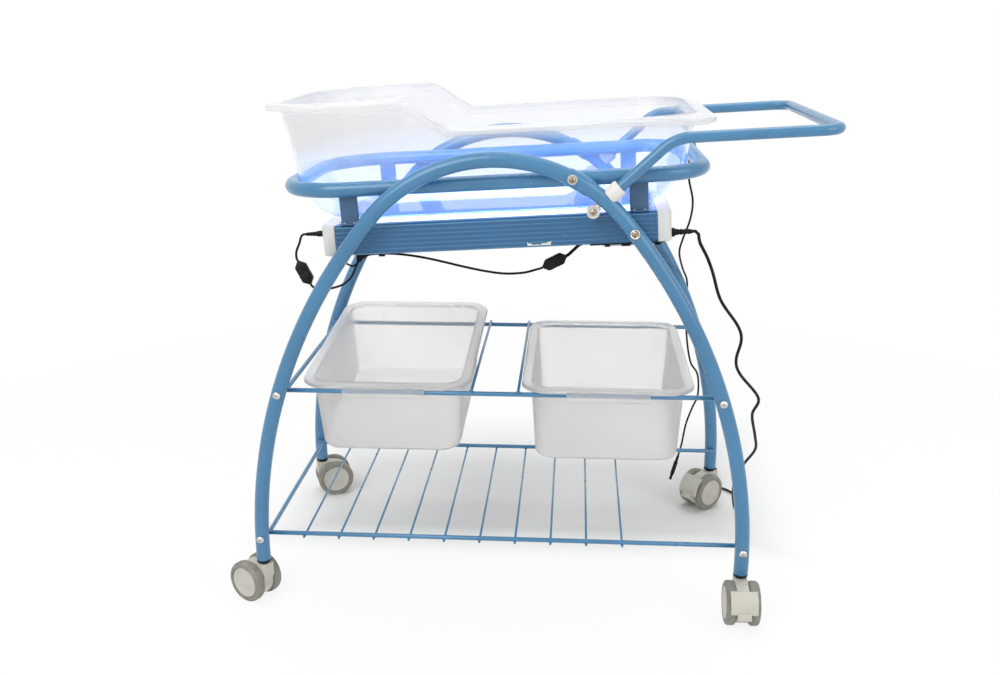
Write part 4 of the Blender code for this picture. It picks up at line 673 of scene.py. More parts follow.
def coilPath():  # two layers: it winds in, climbs in half a turn and winds out again
    size = cordSizes["mains"]
    turnsIn = mains["layerTurns"] * math.tau
    total = 2 * turnsIn
    count = round(total / math.tau * mains["loopPoints"])
    path = []
    for i in range(count + 1):
        turn = total * i / count
        radius = mains["coilRadius"] - mains["coilStep"] * (turnsIn - abs(turnsIn - turn)) / math.tau
        climb = min(1, max(0, (turn - turnsIn + math.pi / 2) / math.pi))
        z = size / 2 + fit + (size + mains["layerGap"]) * (3 * climb ** 2 - 2 * climb ** 3)
        x, y = mains["coilCentre"]
        path.append(Vector((x + radius * math.cos(turn), y + radius * math.sin(turn), z)))
    return [path[0] - Vector((0, size, 0)), *path, path[-1] + Vector((0, mains["leadOut"], 0))]


def makeMains():
    size = cordSizes["mains"]
    tip = lampBox["x1"] + lampBox["capLength"] + fit
    y = lampBox["glandY"]
    z = lampBox["glandZ"]
    long = lampBox["glandLength"]
    profile = ribbedTail(lampBox["glandHead"], long, *lampBox["glandTail"])
    gland = lathe("mainsGland", profile, (tip, y, z), (1, 0, 0), 32)
    settleOnBed(gland, "frame", blackPlastic, "black_plastic", "mains_gland")
    coil = coilPath()
    stop = coil[0] - Vector((0, fit, 0))
    start = bedPoint(tip + long + fit, y, z)
    route = [start, bedPoint(tip + long + size, y, z), *mains["route"]]
    route += [stop - Vector(mains["leadIn"]), stop]
    path = smoothRoute(route, 1.5 * size) + coil
    cord = cordCurve("mainsCord", path, size, "mains_cord", "mains_coil")

    seat = coil[-1] + Vector((0, fit, 0))
    half = seat.z
    long = mains["plugLength"]
    body = [(0.0034, 0), (0.0042, 0.010), (0.0062, 0.012), (half - 0.0004, 0.018)]
    body += [(half - 0.0002, long - 0.006), (half - 0.0008, long)]
    rings = []
    for r, h in body:
        wide = r * (1.0 if h < 0.012 else mains["plugShare"])
        ring = roundedBox(-wide, wide, r, r * 0.45, r * 0.45, 6)
        rings.append([seat + Vector((x, h, v)) for x, v in ring])
    parts = [growRings("mainsPlugBody", rings)]
    r = mains["pinR"]
    reach = mains["pinLength"] + 0.003
    profile = [(0, 0), (r, 0), (r, reach - 0.001), (r - 0.0006, reach), (0, reach)]
    for side in (-1, 1):
        at = seat + Vector((side * mains["pinPitch"] / 2, long - 0.003, 0))
        parts.append(lathe("mainsPin", profile, at, (0, 1, 0), 20))
    plug = settle(joined("mainsPlug", parts), "frame", blackPlastic, "black_plastic", "mains_plug")
    # a soft tie holds the coil's turns together
    x, y = mains["coilCentre"]
    middle = Vector((x - mains["coilRadius"] + mains["coilStep"] * 0.5, y, size + fit + 0.0003))
    wide, high = mains["tie"]
    band = [middle + Vector((a * wide, 0, b * high)) for a, b in arcPoints((0, 0), 1, 0, math.tau, 40)][:-1]
    for point in band:
        point.z = max(point.z, 0.0004)
    half = Vector((0, mains["tieHalfW"], 0))
    tie = growRings("cordTie", [[p - half for p in band], [p + half for p in band]])
    settle(tie, "frame", blackPlastic, "black_plastic")
    print("mains lead", round(pathLength(path), 4))


thinLead = {
    "top": (0.335, 0.112, 0.752),
    "route": (
        (0.336, 0.113, 0.715), (0.346, 0.120, 0.672), (0.344, 0.131, 0.634), (0.334, 0.146, 0.595),
        (0.330, 0.166, 0.562), (0.341, 0.200, 0.523), (0.355, 0.236, 0.488), (0.358, 0.250, 0.444),
        (0.359, 0.250, 0.395), (0.364, 0.250, 0.346), (0.373, 0.250, 0.306), (0.388, 0.250, 0.281),
        (0.391, 0.250, 0.236), (0.380, 0.250, 0.204), (0.369, 0.250, 0.168), (0.362, 0.250, 0.122),
        (0.357, 0.250, 0.099),
    ),
    "connectorD": 0.0085, "connectorL": 0.058, "fall": (-0.26, -0.03, -0.96),
}


def makeThinLead():
    size = cordSizes["lead"]
    top = Vector(thinLead["top"])
    fall = Vector(thinLead["fall"]).normalized()
    end = Vector(thinLead["route"][-1]) + fall * size
    path = smoothRoute([top, top - Vector((0, 0, size)), *thinLead["route"], end], 1.5 * size)
    cord = cordCurve("thinLead", path, size, "thin_lead")
    r = thinLead["connectorD"] / 2
    long = thinLead["connectorL"]
    profile = [(0, 0), (0.0024, 0), (0.0027, 0.001), (0.0030, 0.013), (r - 0.0004, 0.0165), (r, 0.018)]
    profile += [(r, 0.024), (r - 0.0005, 0.0245), (r - 0.0005, 0.026), (r, 0.0265), (r, long - 0.0135)]
    profile += [(r - 0.0006, long - 0.012), (0.0029, long - 0.012), (0.0029, long - 0.001)]
    profile += [(0.0023, long), (0, long)]
    tail = lathe("leadConnector", profile, end + fall * fit, fall, 32)
    settle(tail, "frame", blackPlastic, "black_plastic", "lead_connector")
    print("thin lead", round(pathLength(path), 4))


lampLead = {
    "shortRoute": ((-0.3405, -0.1525, 0.640), (-0.3455, -0.155, 0.627), (-0.345, -0.1575, 0.6165)),
    "leftCoupler": ((-0.342, -0.159, 0.611), (-0.322, -0.166, 0.576)),
    "longRoute": (
        (-0.313, -0.164, 0.566), (-0.302, -0.155, 0.562), (-0.287, -0.147, 0.563), (-0.270, -0.146, 0.569),
        (-0.256, -0.150, 0.581), (-0.247, -0.155, 0.596), (-0.238, -0.159, 0.613), (-0.222, -0.162, 0.6245),
        (-0.200, -0.163, 0.6275), (-0.172, -0.164, 0.6275), (-0.144, -0.162, 0.624), (-0.118, -0.152, 0.617),
        (-0.090, -0.145, 0.609), (-0.060, -0.141, 0.601), (-0.026, -0.140, 0.594), (0.008, -0.140, 0.590),
        (0.040, -0.140, 0.592), (0.062, -0.140, 0.598),
    ),
    "rightCoupler": ((0.073, -0.140, 0.602), (0.110, -0.140, 0.621)),
    "tailRoute": ((0.1215, -0.141, 0.6305), (0.1315, -0.143, 0.6405)),
    "tailEnd": (0.1395, -0.1445), "coupler": (0.042, 0.019, 0.015), "couplerRound": 0.0026,
    "clipX": -0.200, "clipHalfL": 0.005, "clipWall": 0.0016,
}


def makeCoupler(name, node):
    start, aim = [Vector(end) for end in lampLead[name]]
    along = (aim - start).normalized()
    long, wide, high = lampLead["coupler"]
    across = along.cross(Vector((0, 1, 0))).normalized()
    deep = along.cross(across)
    stations = [(0, 0.36), (0.03, 0.40), (0.15, 0.91), (0.19, 0.98), (0.24, 1.0), (0.47, 1.0), (0.48, 0.965)]
    stations += [(1 - share, size) for share, size in reversed(stations)]
    rings = []
    for share, size in stations:
        r = lampLead["couplerRound"] * size
        ring = roundedBox(-wide / 2 * size, wide / 2 * size, high / 2 * size, r, r, 5)
        rings.append([start + along * (long * share) + across * x + deep * y for x, y in ring])
    piece = growRings(name, rings)
    settle(piece, "frame", blackPlastic, "black_plastic", node)
    end = start + along * long
    return piece, start - along * fit, end + along * fit, along


def makeLampLead():
    size = cordSizes["lead"]
    y = lampBox["socketY"]
    z = lampBox["socketZ"]
    tip = lampBox["x0"] - lampBox["capLength"] - fit
    long = lampBox["plugLength"]
    profile = ribbedTail(lampBox["plugHead"], long, *lampBox["plugTail"])
    plug = lathe("lampPlug", profile, bedPoint(tip, y, z), bedPoint(-1, 0, 0) - bedPoint(0, 0, 0), 32)
    settle(plug, "frame", blackPlastic, "black_plastic", "dc_plug")
    left, leftIn, leftOut, leftAlong = makeCoupler("leftCoupler", "left_coupler")
    right, rightIn, rightOut, rightAlong = makeCoupler("rightCoupler", "right_coupler")

    out = bedPoint(tip - long - fit, y, z)
    route = [out, bedPoint(tip - long - size, y, z), *lampLead["shortRoute"]]
    route += [leftIn - leftAlong * size * 0.6, leftIn]
    path = smoothRoute(route, size)
    cord = cordCurve("lampLeadShort", path, size, "dc_lead_short")

    start = leftOut
    route = [start, start + leftAlong * size, *lampLead["longRoute"], rightIn - rightAlong * size, rightIn]
    path = smoothRoute(route, 1.5 * size)
    cord = cordCurve("lampLeadLong", path, size, "dc_lead_long")
    clipAt = min(path, key=lambda p: abs(p.x - lampLead["clipX"]))

    size = cordSizes["tail"]
    end = bedPoint(*lampLead["tailEnd"], -fit)
    up = bedPoint(0, 0, 1) - bedPoint(0, 0, 0)
    start = rightOut
    route = [start, start + rightAlong * (0.002 - fit), *lampLead["tailRoute"], end - up * size, end]
    path = smoothRoute(route, size * 0.6)
    cord = cordCurve("lampLeadTail", path, size, "right_coupler")
    makeLeadClip(clipAt)
    print("lamp lead made")


def makeLeadClip(near):  # hook under the light box that the long lead lies in
    half = lampLead["clipHalfL"]
    bore = cordSizes["lead"] / 2 + 2 * fit
    wall = bore + lampLead["clipWall"]
    shape = [(-wall, 0), (-wall, -wall), (wall, -wall), (wall, -bore * 0.2), (bore, -bore * 0.2)]
    shape += [(bore, -bore), (-bore, -bore), (-bore, bore), (wall, bore), (wall, 0)]
    outline = []
    for y, z in shape:
        level = near.z + z if z else bedZ + (near.x - half) * math.tan(bedSlope) - fit
        outline.append((near.x - half, near.y + y, level))
    clip = pull("leadClip", outline, (2 * half, 0, 0))
    soften(clip, 0.0004, 2)
    settle(clip, "frame", blackPlastic, "black_plastic", "lead_clip")


makeMains()
makeThinLead()
makeLampLead()

# bent tube frame
frameTube = {
    "radius": 0.0125, "archY": 0.224, "top": 0.793, "crownR": 0.2666, "crownHalf": math.radians(50),
    "legR": 0.9275, "footZ": 0.082, "bellR": 0.0143, "bellLap": 0.038, "bellTaper": 0.008, "bellLip": 0.0012,
    "lipRound": 0.0009, "lapGap": 0.003, "jointTurn": math.radians(26.75), "jointInset": 0.009,
    "boltTurn": math.radians(51.5), "crossR": 0.008,
}
legReach = frameTube["crownR"] - frameTube["legR"]
legCentre = (
    legReach * math.sin(frameTube["crownHalf"]),
    frameTube["top"] - frameTube["crownR"] + legReach * math.cos(frameTube["crownHalf"]),
)


def archPoint(turn):
    size = abs(turn)
    if size <= frameTube["crownHalf"]:
        x = frameTube["crownR"] * math.sin(size)
        z = frameTube["top"] - frameTube["crownR"] * (1 - math.cos(size))
    else:
        x = legCentre[0] + frameTube["legR"] * math.sin(size)
        z = legCentre[1] + frameTube["legR"] * math.cos(size)
    return math.copysign(x, turn), z


def legTurn(height):
    return math.acos((height - legCentre[1]) / frameTube["legR"])


footX = archPoint(legTurn(frameTube["footZ"]))[0]


def archLine(start, end, y, stops=()):
    bends = (-frameTube["crownHalf"], frameTube["crownHalf"])
    marks = sorted({start, end, *stops, *(m for m in bends if start < m < end)})
    turns = [start]
    for low, high in zip(marks, marks[1:]):
        onCrown = abs(low + high) / 2 < frameTube["crownHalf"]
        parts = max(1, math.ceil((high - low) / math.radians(1.8 if onCrown else 1.0)))
        turns += [low + (high - low) * (i + 1) / parts for i in range(parts)]
    return [Vector((archPoint(t)[0], y, archPoint(t)[1])) for t in turns], turns


def makeArches():
    crown = frameTube["crownR"]
    mouth = frameTube["jointTurn"] - frameTube["jointInset"] / crown
    lapEnd = mouth + frameTube["bellLap"] / crown
    bellEnd = lapEnd + frameTube["bellTaper"] / crown
    lip = mouth + frameTube["bellLip"] / crown
    foot = legTurn(frameTube["footZ"])
    for name, side in (("front", -1), ("rear", 1)):
        y = side * frameTube["archY"]
        path = archLine(-foot, lapEnd - frameTube["lapGap"] / crown, y)[0]
        arch = bentTubes(name + "Arch", [(path, frameTube["radius"], False)], 32)
        settle(arch, "frame", bluePaint, "blue_paint", name + "_arch_tube")
        path, turns = archLine(mouth, foot, y, (lip, lapEnd, bellEnd))
        radii = []
        for turn in turns:
            share = min(1, max(0, (bellEnd - turn) / (bellEnd - lapEnd)))
            radius = frameTube["radius"] + (frameTube["bellR"] - frameTube["radius"]) * share
            radii.append(radius - (frameTube["lipRound"] if turn < lip - 1e-9 else 0))
        leg = bentTubes(name + "Leg", [(path, radii, False)], 32)
        settle(leg, "frame", bluePaint, "blue_paint", name + "_leg_tube")


def crossTurn():  # where the left legs meet the cross tube's height
    low = frameTube["crownHalf"]
    high = legTurn(frameTube["footZ"])
    drop = (frameTube["crossR"] + fit) / math.cos(bedSlope)
    for _ in range(50):
        middle = (low + high) / 2
        x, z = archPoint(middle)
        if z > bedZ - x * math.tan(bedSlope) - drop:
            low = middle
        else:
            high = middle
    return low


pushHandle = {
    "radius": 0.0089, "turn": math.radians(40.2), "armAngle": math.radians(43), "armLength": 0.1425,
    "reach": 0.2535, "slope": math.radians(3.2), "bendR": 0.070, "cornerR": 0.030, "saddleR": 0.01375,
    "saddleFloor": 0.006, "saddleLow": 0.62, "socket": 0.013, "socketGap": 0.0006, "cutterHalf": 0.03,
}


def handleFoot(side):
    x, z = archPoint(pushHandle["turn"])
    along = Vector((math.cos(pushHandle["armAngle"]), 0, math.sin(pushHandle["armAngle"])))
    return Vector((x, side * frameTube["archY"], z)), along


def makeHandle():
    floor = frameTube["radius"] + pushHandle["saddleFloor"]
    foot, along = handleFoot(-1)
    bend = foot + along * pushHandle["armLength"]
    ahead = Vector((math.cos(pushHandle["slope"]), 0, math.sin(pushHandle["slope"])))
    front = [foot + along * (floor + fit), bend, bend + ahead * pushHandle["reach"]]
    rear = [Vector((p.x, -p.y, p.z)) for p in reversed(front)]
    radii = (pushHandle["bendR"], pushHandle["cornerR"], pushHandle["cornerR"], pushHandle["bendR"])
    path = roundedPath(front + rear, radii, 18)
    bar = bentTubes("pushHandle", [(path, pushHandle["radius"], False)], 28)
    settle(bar, "frame", bluePaint, "blue_paint", "push_handle")
    for name, side in (("front", -1), ("rear", 1)):
        makeSaddle(name, side)


def makeSaddle(name, side):  # white moulding between arch and handle arm
    foot, along = handleFoot(side)
    floor = frameTube["radius"] + pushHandle["saddleFloor"]
    top = floor + pushHandle["socket"]
    low = frameTube["radius"] * pushHandle["saddleLow"]
    r = pushHandle["saddleR"]
    bore = pushHandle["radius"] + pushHandle["socketGap"]
    profile = [(0, low), (r - 0.0008, low), (r, low + 0.0008), (r, top - 0.0022), (r - 0.0006, top - 0.0008)]
    profile += [(r - 0.0018, top), (bore + 0.0005, top), (bore, top - 0.0008), (bore, floor), (0, floor)]
    saddle = lathe(name + "Saddle", profile, foot, along, 56)
    tangent = Vector((math.cos(pushHandle["turn"]), 0, -math.sin(pushHandle["turn"])))
    seat = frameTube["radius"] + fit + r * r / (2 * frameTube["crownR"])
    half = pushHandle["cutterHalf"]
    ends = [(0, -half), (seat, -half), (seat, half), (0, half)]
    combine(saddle, lathe("seatCutter", ends, foot, tangent, 56), "DIFFERENCE")
    settle(saddle, "frame", whitePlastic, "white_plastic", name + "_handle_saddle", angle=40)


makeArches()
x, z = archPoint(crossTurn())
reachY = frameTube["archY"] - frameTube["radius"] - fit
crossTube = bentTubes("crossTube", [([(-x, -reachY, z), (-x, reachY, z)], frameTube["crossR"], False)], 28)
settle(crossTube, "frame", bluePaint, "blue_paint", "bed_cross_tube")
makeHandle()
print("frame tubes made")

# wire racks
racks = {
    "railR": 0.004, "railY": 0.2072, "upperZ": 0.397, "lowerZ": 0.125, "endInset": 0.008, "overhang": 0.005,
    "wireOverhang": 0.006, "weld": 0.0008, "lowerWireR": 0.002, "upperRodR": 0.0025, "railTip": 0.0012,
    "wireTip": 0.0008, "lowerWires": [-0.349 + 0.0628 * i for i in range(10)], "upperRods": (-0.045, 0.034),
    "endBarShare": 0.98, "bead": (0.75, 1.5, 0.55), "beadOut": 0.9, "beadRough": 0.12,
}


def makeRack(name, node, height, crossR, crossX, onTop):
    y = racks["railY"]
    r = racks["railR"]
    legX = archPoint(legTurn(height))[0]
    end = legX + racks["overhang"]
    tip = racks["railTip"]
    lines = []
    for side in (-1, 1):
        points = [(x, side * y, height) for x in (-end, -end + tip, end - tip, end)]
        lines.append((points, [r - tip, r, r, r - tip], False))
    left = -(legX - racks["endInset"])
    lines.append(([(left, -y, height), (left, y, height)], r * racks["endBarShare"], False))
    offset = r + crossR - racks["weld"]
    level = height + offset if onTop else height - offset
    reach = y + racks["wireOverhang"]
    tip = racks["wireTip"]
    for x in crossX:
        points = [(x, across, level) for across in (-reach, -reach + tip, reach - tip, reach)]
        lines.append((points, [crossR - tip, crossR, crossR, crossR - tip], False))
    bars = bentTubes(name + "Bars", lines, 20)
    # a small bead of weld at each crossing
    bpy.ops.object.select_all(action="DESELECT")
    bpy.ops.mesh.primitive_ico_sphere_add(subdivisions=2, radius=1)
    bead = bpy.context.object
    bpy.ops.object.mode_set(mode="EDIT")
    bpy.ops.mesh.select_all(action="SELECT")
    bpy.ops.transform.vertex_random(offset=racks["beadRough"], seed=7)
    bpy.ops.object.mode_set(mode="OBJECT")
    size = Matrix.Diagonal((*(crossR * share for share in racks["bead"]), 1))
    beads = []
    join = height + (r if onTop else -r)
    for x in crossX:
        for side in (-1, 1):
            for hand in (-1, 1):
                at = Vector((x + hand * crossR * racks["beadOut"], side * y, join))
                beads.append(copied(bead, "bead", Matrix.Translation(at) @ size))
    discard(bead)
    settle(joined(name, [bars, *beads]), "frame", bluePaint, "blue_paint", node, angle=50)


makeRack("lowerRack", "lower_rack", racks["lowerZ"], racks["lowerWireR"], racks["lowerWires"], False)
makeRack("upperRack", "upper_rack", racks["upperZ"], racks["upperRodR"], racks["upperRods"], True)
print("racks made")

# screws: modelled once looking up, then turned to each seat
screwSizes = {
    "head": 0.0105, "headH": 0.0036, "shank": 0.004, "rackHead": 0.0132, "rackHeadH": 0.0042,
    "boltHead": 0.0145, "boltHeadH": 0.0045, "bolt": 0.006, "shankL": 0.006, "smaller": (0.74, 0.74, 0.8, 1),
    "cup": (
        (0.0032, 0.0002), (0.0075, 0.0002), (0.0079, 0.0008), (0.0076, 0.0028), (0.0066, 0.0036),
        (0.0056, 0.0030), (0.0052, 0.0014), (0.0032, 0.0012),
    ),
    "barrelDrop": 0.0118, "barrelOut": 0.004, "barrelFloor": 0.0018,
    "barrel": (
        (0, 0.0018), (0.0080, 0.0018), (0.0083, 0.0030), (0.0088, 0.0038), (0.0098, 0.0040), (0.0104, 0.0032),
        (0.0105, 0.0020), (0.0105, -0.0095), (0.0102, -0.0110), (0.0094, -0.0118), (0, -0.0118),
    ),
}


def makeScrewHead(name, width, height, shank):
    r = width / 2
    drop = screwSizes["shankL"]
    profile = domed(r, height, 9, 0.22) + [(r, 0), (shank / 2, 0), (shank / 2, -drop), (0, -drop)]
    head = lathe(name, profile, (0, 0, 0), (0, 0, 1), 40)
    half = width * 0.055
    arm = width * 0.23
    bar = flatBox(-arm, arm, -half, half, height * 0.45)
    for turn in (0, math.pi / 2):  # cross recess
        outline = [Matrix.Rotation(turn, 3, "Z") @ Vector(point) for point in bar]
        combine(head, pull("recess", outline, (0, 0, height)), "DIFFERENCE")
    return head


def facing(seat, out):
    turn = Vector((0, 0, 1)).rotation_difference(out.normalized())
    return Matrix.Translation(seat) @ turn.to_matrix().to_4x4()


def makeScrews():
    small = makeScrewHead("smallScrew", screwSizes["head"], screwSizes["headH"], screwSizes["shank"])
    rack = makeScrewHead("rackScrew", screwSizes["rackHead"], screwSizes["rackHeadH"], screwSizes["shank"])
    large = makeScrewHead("largeScrew", screwSizes["boltHead"], screwSizes["boltHeadH"], screwSizes["bolt"])
    cup = lathe("cupRing", screwSizes["cup"], (0, 0, 0), (0, 0, 1), 48, True)
    barrel = lathe("barrelNut", screwSizes["barrel"], (0, 0, 0), (0, 0, 1), 48)
    smaller = Matrix.Diagonal(screwSizes["smaller"])
    for depth, side in (("front", -1), ("rear", 1)):
        out = Vector((0, side, 0))
        face = side * (frameTube["archY"] + frameTube["radius"] + fit)
        for level in ("upper", "lower"):
            height = racks[level + "Z"]
            for hand, sign in (("left", -1), ("right", 1)):
                x = sign * archPoint(legTurn(height))[0]
                name = f"{level}_rack_{depth}_{hand}_screw"
                head = copied(rack, name + "Head", facing((x, face, height), out))
                settle(head, "frame", brightScrew, "zinc_screw", name)
        # box bolt in a zinc ring, joint screw in a cream one
        x, z = archPoint(frameTube["boltTurn"])
        ring = copied(cup, depth + "BoxBoltRing", facing((x, face - side * 0.0004, z), out))
        settle(ring, "frame", zincScrew, "zinc_screw")
        head = copied(large, depth + "BoxBolt", facing((x, face, z), out) @ smaller)
        settle(head, "frame", rustyScrew, "zinc_screw", depth + "_box_bolt")
        x, z = archPoint(frameTube["jointTurn"])
        bellFace = side * (frameTube["archY"] + frameTube["bellR"])
        ring = copied(cup, depth + "JointRing", facing((x, bellFace - side * 0.0003, z), out))
        settle(ring, "frame", creamNylon, "white_plastic")
        head = copied(small, depth + "JointScrew", facing((x, bellFace + side * 0.0002, z), out))
        settle(head, "frame", rustyScrew, "zinc_screw")
        # handle bolt and the white barrel nut that takes it, under the arch
        foot, along = handleFoot(side)
        lean = abs(math.pi / 2 - pushHandle["turn"] - pushHandle["armAngle"])
        off = frameTube["radius"] + fit + screwSizes["boltHead"] / 2 * math.tan(lean) + 0.0003
        head = copied(large, depth + "HandleBolt", facing(foot - along * off, -along))
        settle(head, "frame", zincScrew, "zinc_screw", depth + "_handle_bolt")
        seat = foot - along * (off + screwSizes["barrelDrop"]) + out * screwSizes["barrelOut"]
        nut = copied(barrel, depth + "HandleBarrel", facing(seat, out))
        settle(nut, "frame", whitePlastic, "white_plastic")
        seat += out * screwSizes["barrelFloor"]
        head = copied(large, depth + "BarrelScrew", facing(seat, out) @ smaller)
        settle(head, "frame", rustyScrew, "zinc_screw")
    discard(small, rack, large, cup, barrel)


makeScrews()
print("screws made")

# light box: caps, trim, and what glows inside
boxTrim = {
    "capEdge": 0.0022, "port": ((0, -0.008), (0.0034, -0.008), (0.0034, 0.01), (0, 0.01)),
    "sealX": 0.150, "sealEnd": 0.012, "sealInset": (0.0068, 0.0008), "sealZ": -0.0016, "sealH": 0.0014,
    "barY": (0.176, 0.190), "bar": (0.1715, 0.2580), "barZ": -0.0056, "barH": 0.0054,
    "pads": ((0.1744, 0.1824), (0.2008, 0.2154), (0.2542, 0.2640)), "padProud": 0.0006, "padZ": -0.0064,
    "padH": 0.0062, "tapeT": 0.0003,
    "tape": (
        (0.0487, 0.0098), (0.0505, 0.0075), (0.0555, 0.0066), (0.0580, 0.0045), (0.0640, 0.0052),
        (0.0695, 0.0043), (0.0722, 0.0062), (0.0790, 0.0067), (0.0884, 0.0098), (0.0868, 0.0060),
        (0.0872, 0.0034), (0.0490, 0.0034),
    ),
    "hookY": -0.1664, "hookR": 0.0016, "hookBends": (0.006, 0.007, 0.006),
    "hook": (
        (-0.2597, 0.6302), (-0.2605, 0.6120), (-0.2470, 0.6050), (-0.2330, 0.6165), (-0.2270, 0.6225),
    ),
    "wedge": ((-0.2400, 0.6125), (-0.2375, 0.6125), (-0.2225, 0.6225), (-0.2225, 0.6322), (-0.2400, 0.6313)),
}
lamps = {
    "size": (0.007, 0.007, 0.0016, 1), "rows": (-0.1125, -0.0575, 0.0575, 0.1125), "inRow": 26,
    "inset": 0.034, "pitch": 0.0182, "level": 0.0345 + 2 * fit,
}


def makeCap(name, node, sign):
    w = lampBox["halfW"]
    r = lampBox["capRound"]
    start = (lampBox["x0"] if sign < 0 else lampBox["x1"]) + sign * fit
    tip = start + sign * lampBox["capLength"]
    outline = [(start, -w)]
    outline += [(tip - sign * (r - x), -w + r - y) for x, y in arcPoints((0, 0), r, math.pi / 2, 0, 14)]
    outline += [(x, -y) for x, y in reversed(outline)]
    cap = pull(name, [(x, y, 0) for x, y in outline], (0, 0, lampBox["height"]))
    soften(cap, boxTrim["capEdge"], 4, 50)
    lead = "gland" if sign > 0 else "socket"
    at = (tip, lampBox[lead + "Y"], lampBox[lead + "Z"])
    combine(cap, lathe("portCutter", boxTrim["port"], at, (sign, 0, 0), 32), "DIFFERENCE")
    settleOnBed(cap, "frame", whitePlastic, "white_plastic", node)


def trimBox(name, x0, x1, side, proud, z, height):
    y0, y1 = boxTrim["barY"]
    return pull(name, flatBox(x0, x1, side * (y0 - proud), side * (y1 + proud), z), (0, 0, height))


def makeTrim():
    w = lampBox["halfW"]
    # dark seal along the right of the lower edges, and white bars with black pads round them
    seals = []
    end = lampBox["x1"] + lampBox["capLength"] - boxTrim["sealEnd"]
    for side in (-1, 1):
        y0, y1 = [side * (w - inset) for inset in boxTrim["sealInset"]]
        outline = flatBox(boxTrim["sealX"], end, y0, y1, boxTrim["sealZ"])
        seals.append(pull("seal", outline, (0, 0, boxTrim["sealH"])))
        for x0, x1 in boxTrim["pads"]:
            seals.append(trimBox("pad", x0, x1, side, boxTrim["padProud"], boxTrim["padZ"], boxTrim["padH"]))
    seals = joined("boxSeals", seals)
    soften(seals, 0.0004, 2)
    settleOnBed(seals, "frame", blackPlastic, "black_plastic")
    bars = [trimBox("bar", *boxTrim["bar"], side, 0, boxTrim["barZ"], boxTrim["barH"]) for side in (-1, 1)]
    bars = joined("boxBars", bars)
    soften(bars, 0.0006, 2)
    settleOnBed(bars, "frame", whitePlastic, "white_plastic")

    # torn white tape on the front's lower edge
    face = -w - 0.0002
    tape = pull("tornTape", [(x, face, z) for x, z in boxTrim["tape"]], (0, -boxTrim["tapeT"], 0))
    settleOnBed(tape, "frame", whitePlastic, "white_plastic")

    # open hook under the box, in front of the long lead
    y = boxTrim["hookY"]
    r = boxTrim["hookR"]
    path = roundedPath([(x, y, z) for x, z in boxTrim["hook"]], boxTrim["hookBends"], 8)
    hook = bentTubes("leadHook", [(path, r, False)], 16)
    wedge = pull("wedge", [(x, y - r, z) for x, z in boxTrim["wedge"]], (0, 2 * r, 0))
    soften(wedge, 0.0005, 2)
    settle(joined("leadHook", [hook, wedge]), "frame", blackPlastic, "black_plastic")


def makeLamps():  # rows of lamps on the two strips
    bpy.ops.object.select_all(action="DESELECT")
    bpy.ops.mesh.primitive_cube_add(size=1)
    chip = bpy.context.object
    chip.data.transform(Matrix.Diagonal(lamps["size"]))
    soften(chip, 0.0004, 1)
    chips = []
    for y in lamps["rows"]:
        for i in range(lamps["inRow"]):
            at = Vector((lampBox["x0"] + lamps["inset"] + i * lamps["pitch"], y, lamps["level"]))
            chips.append(copied(chip, "chip", Matrix.Translation(at)))
    discard(chip)
    settleOnBed(joined("lampChips", chips), "frame", lampChip, "light_strip")


makeCap("leftCap", "left_end_cap", -1)
makeCap("rightCap", "right_end_cap", 1)
makeTrim()
makeLamps()

# CAD pieces whose shape is right get a finish
kept = {"lamp_housing": boxPaint, "lamp_cover": clearCover, "reflector_tray": whitePlastic,
        "light_panel": litBoard, "light_driver": blackPlastic}
for name, finish in kept.items():
    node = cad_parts[name]
    for slot in node.material_slots:
        slot.material = finish
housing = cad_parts["lamp_housing"]
housing.modifiers.new("weld", "WELD").merge_threshold = 0.00002
addBevel(housing, 0.0004, 2, 25)
print("light box made")

# tub ring and its uprights
tubRing = {
    "radius": 0.0125, "x0": -0.354, "x1": 0.3385, "halfW": 0.196, "r0": 0.110, "r1": 0.075, "z": 0.1085,
    "uprightX": (-0.240, 0.231), "uprightY": 0.188, "uprightW": 0.030, "uprightT": 0.004, "footL": 0.010,
    "footT": 0.003, "screwR": 0.0022, "screwH": 0.0013, "screwX": 0.0085,
    "clipGap": 0.0004, "clipT": 0.0018, "clipHalfW": 0.006, "stemHalf": (0.0045, 0.005),
}


def makeRing():
    size = tubRing
    outline = roundedBox(size["x0"], size["x1"], size["halfW"], size["r0"], size["r1"], 24)
    ring = bentTubes("tubRing", [([(x, y, size["z"]) for x, y in outline], size["radius"], True)], 32)
    floor = lampBox["height"] + fit
    y0 = size["uprightY"] - size["uprightT"] / 2
    y1 = size["uprightY"] + size["uprightT"] / 2
    foot = floor + size["footT"]
    edge = y1 + size["footL"]
    shape = [(y0, floor), (edge, floor), (edge, foot), (y1, foot), (y1, size["z"]), (y0, size["z"])]
    dome = domed(size["screwR"], size["screwH"], 15) + [(0, 0)]
    plates = []
    screws = []
    for x in size["uprightX"]:
        for side in (-1, 1):
            points = [(x - size["uprightW"] / 2, side * y, z) for y, z in shape]
            plate = pull("upright", points, (size["uprightW"], 0, 0))
            soften(plate, 0.0007, 3)
            plates.append(plate)
            for hand in (-1, 1):
                seat = Vector((x + hand * size["screwX"], side * (y1 + size["footL"] * 0.48), foot))
                screws.append(lathe("footScrew", dome, seat, (0, 0, 1), 20))
    settleOnBed(ring, "frame", bluePaint, "blue_paint", "basin_ring")
    # the uprights take the darker copy of the blue enamel as painted shade
    settleOnBed(joined("tubUprights", plates), "frame", shadedUprightPaint, "blue_paint")
    settleOnBed(joined("uprightScrews", screws), "frame", zincScrew, "zinc_screw")


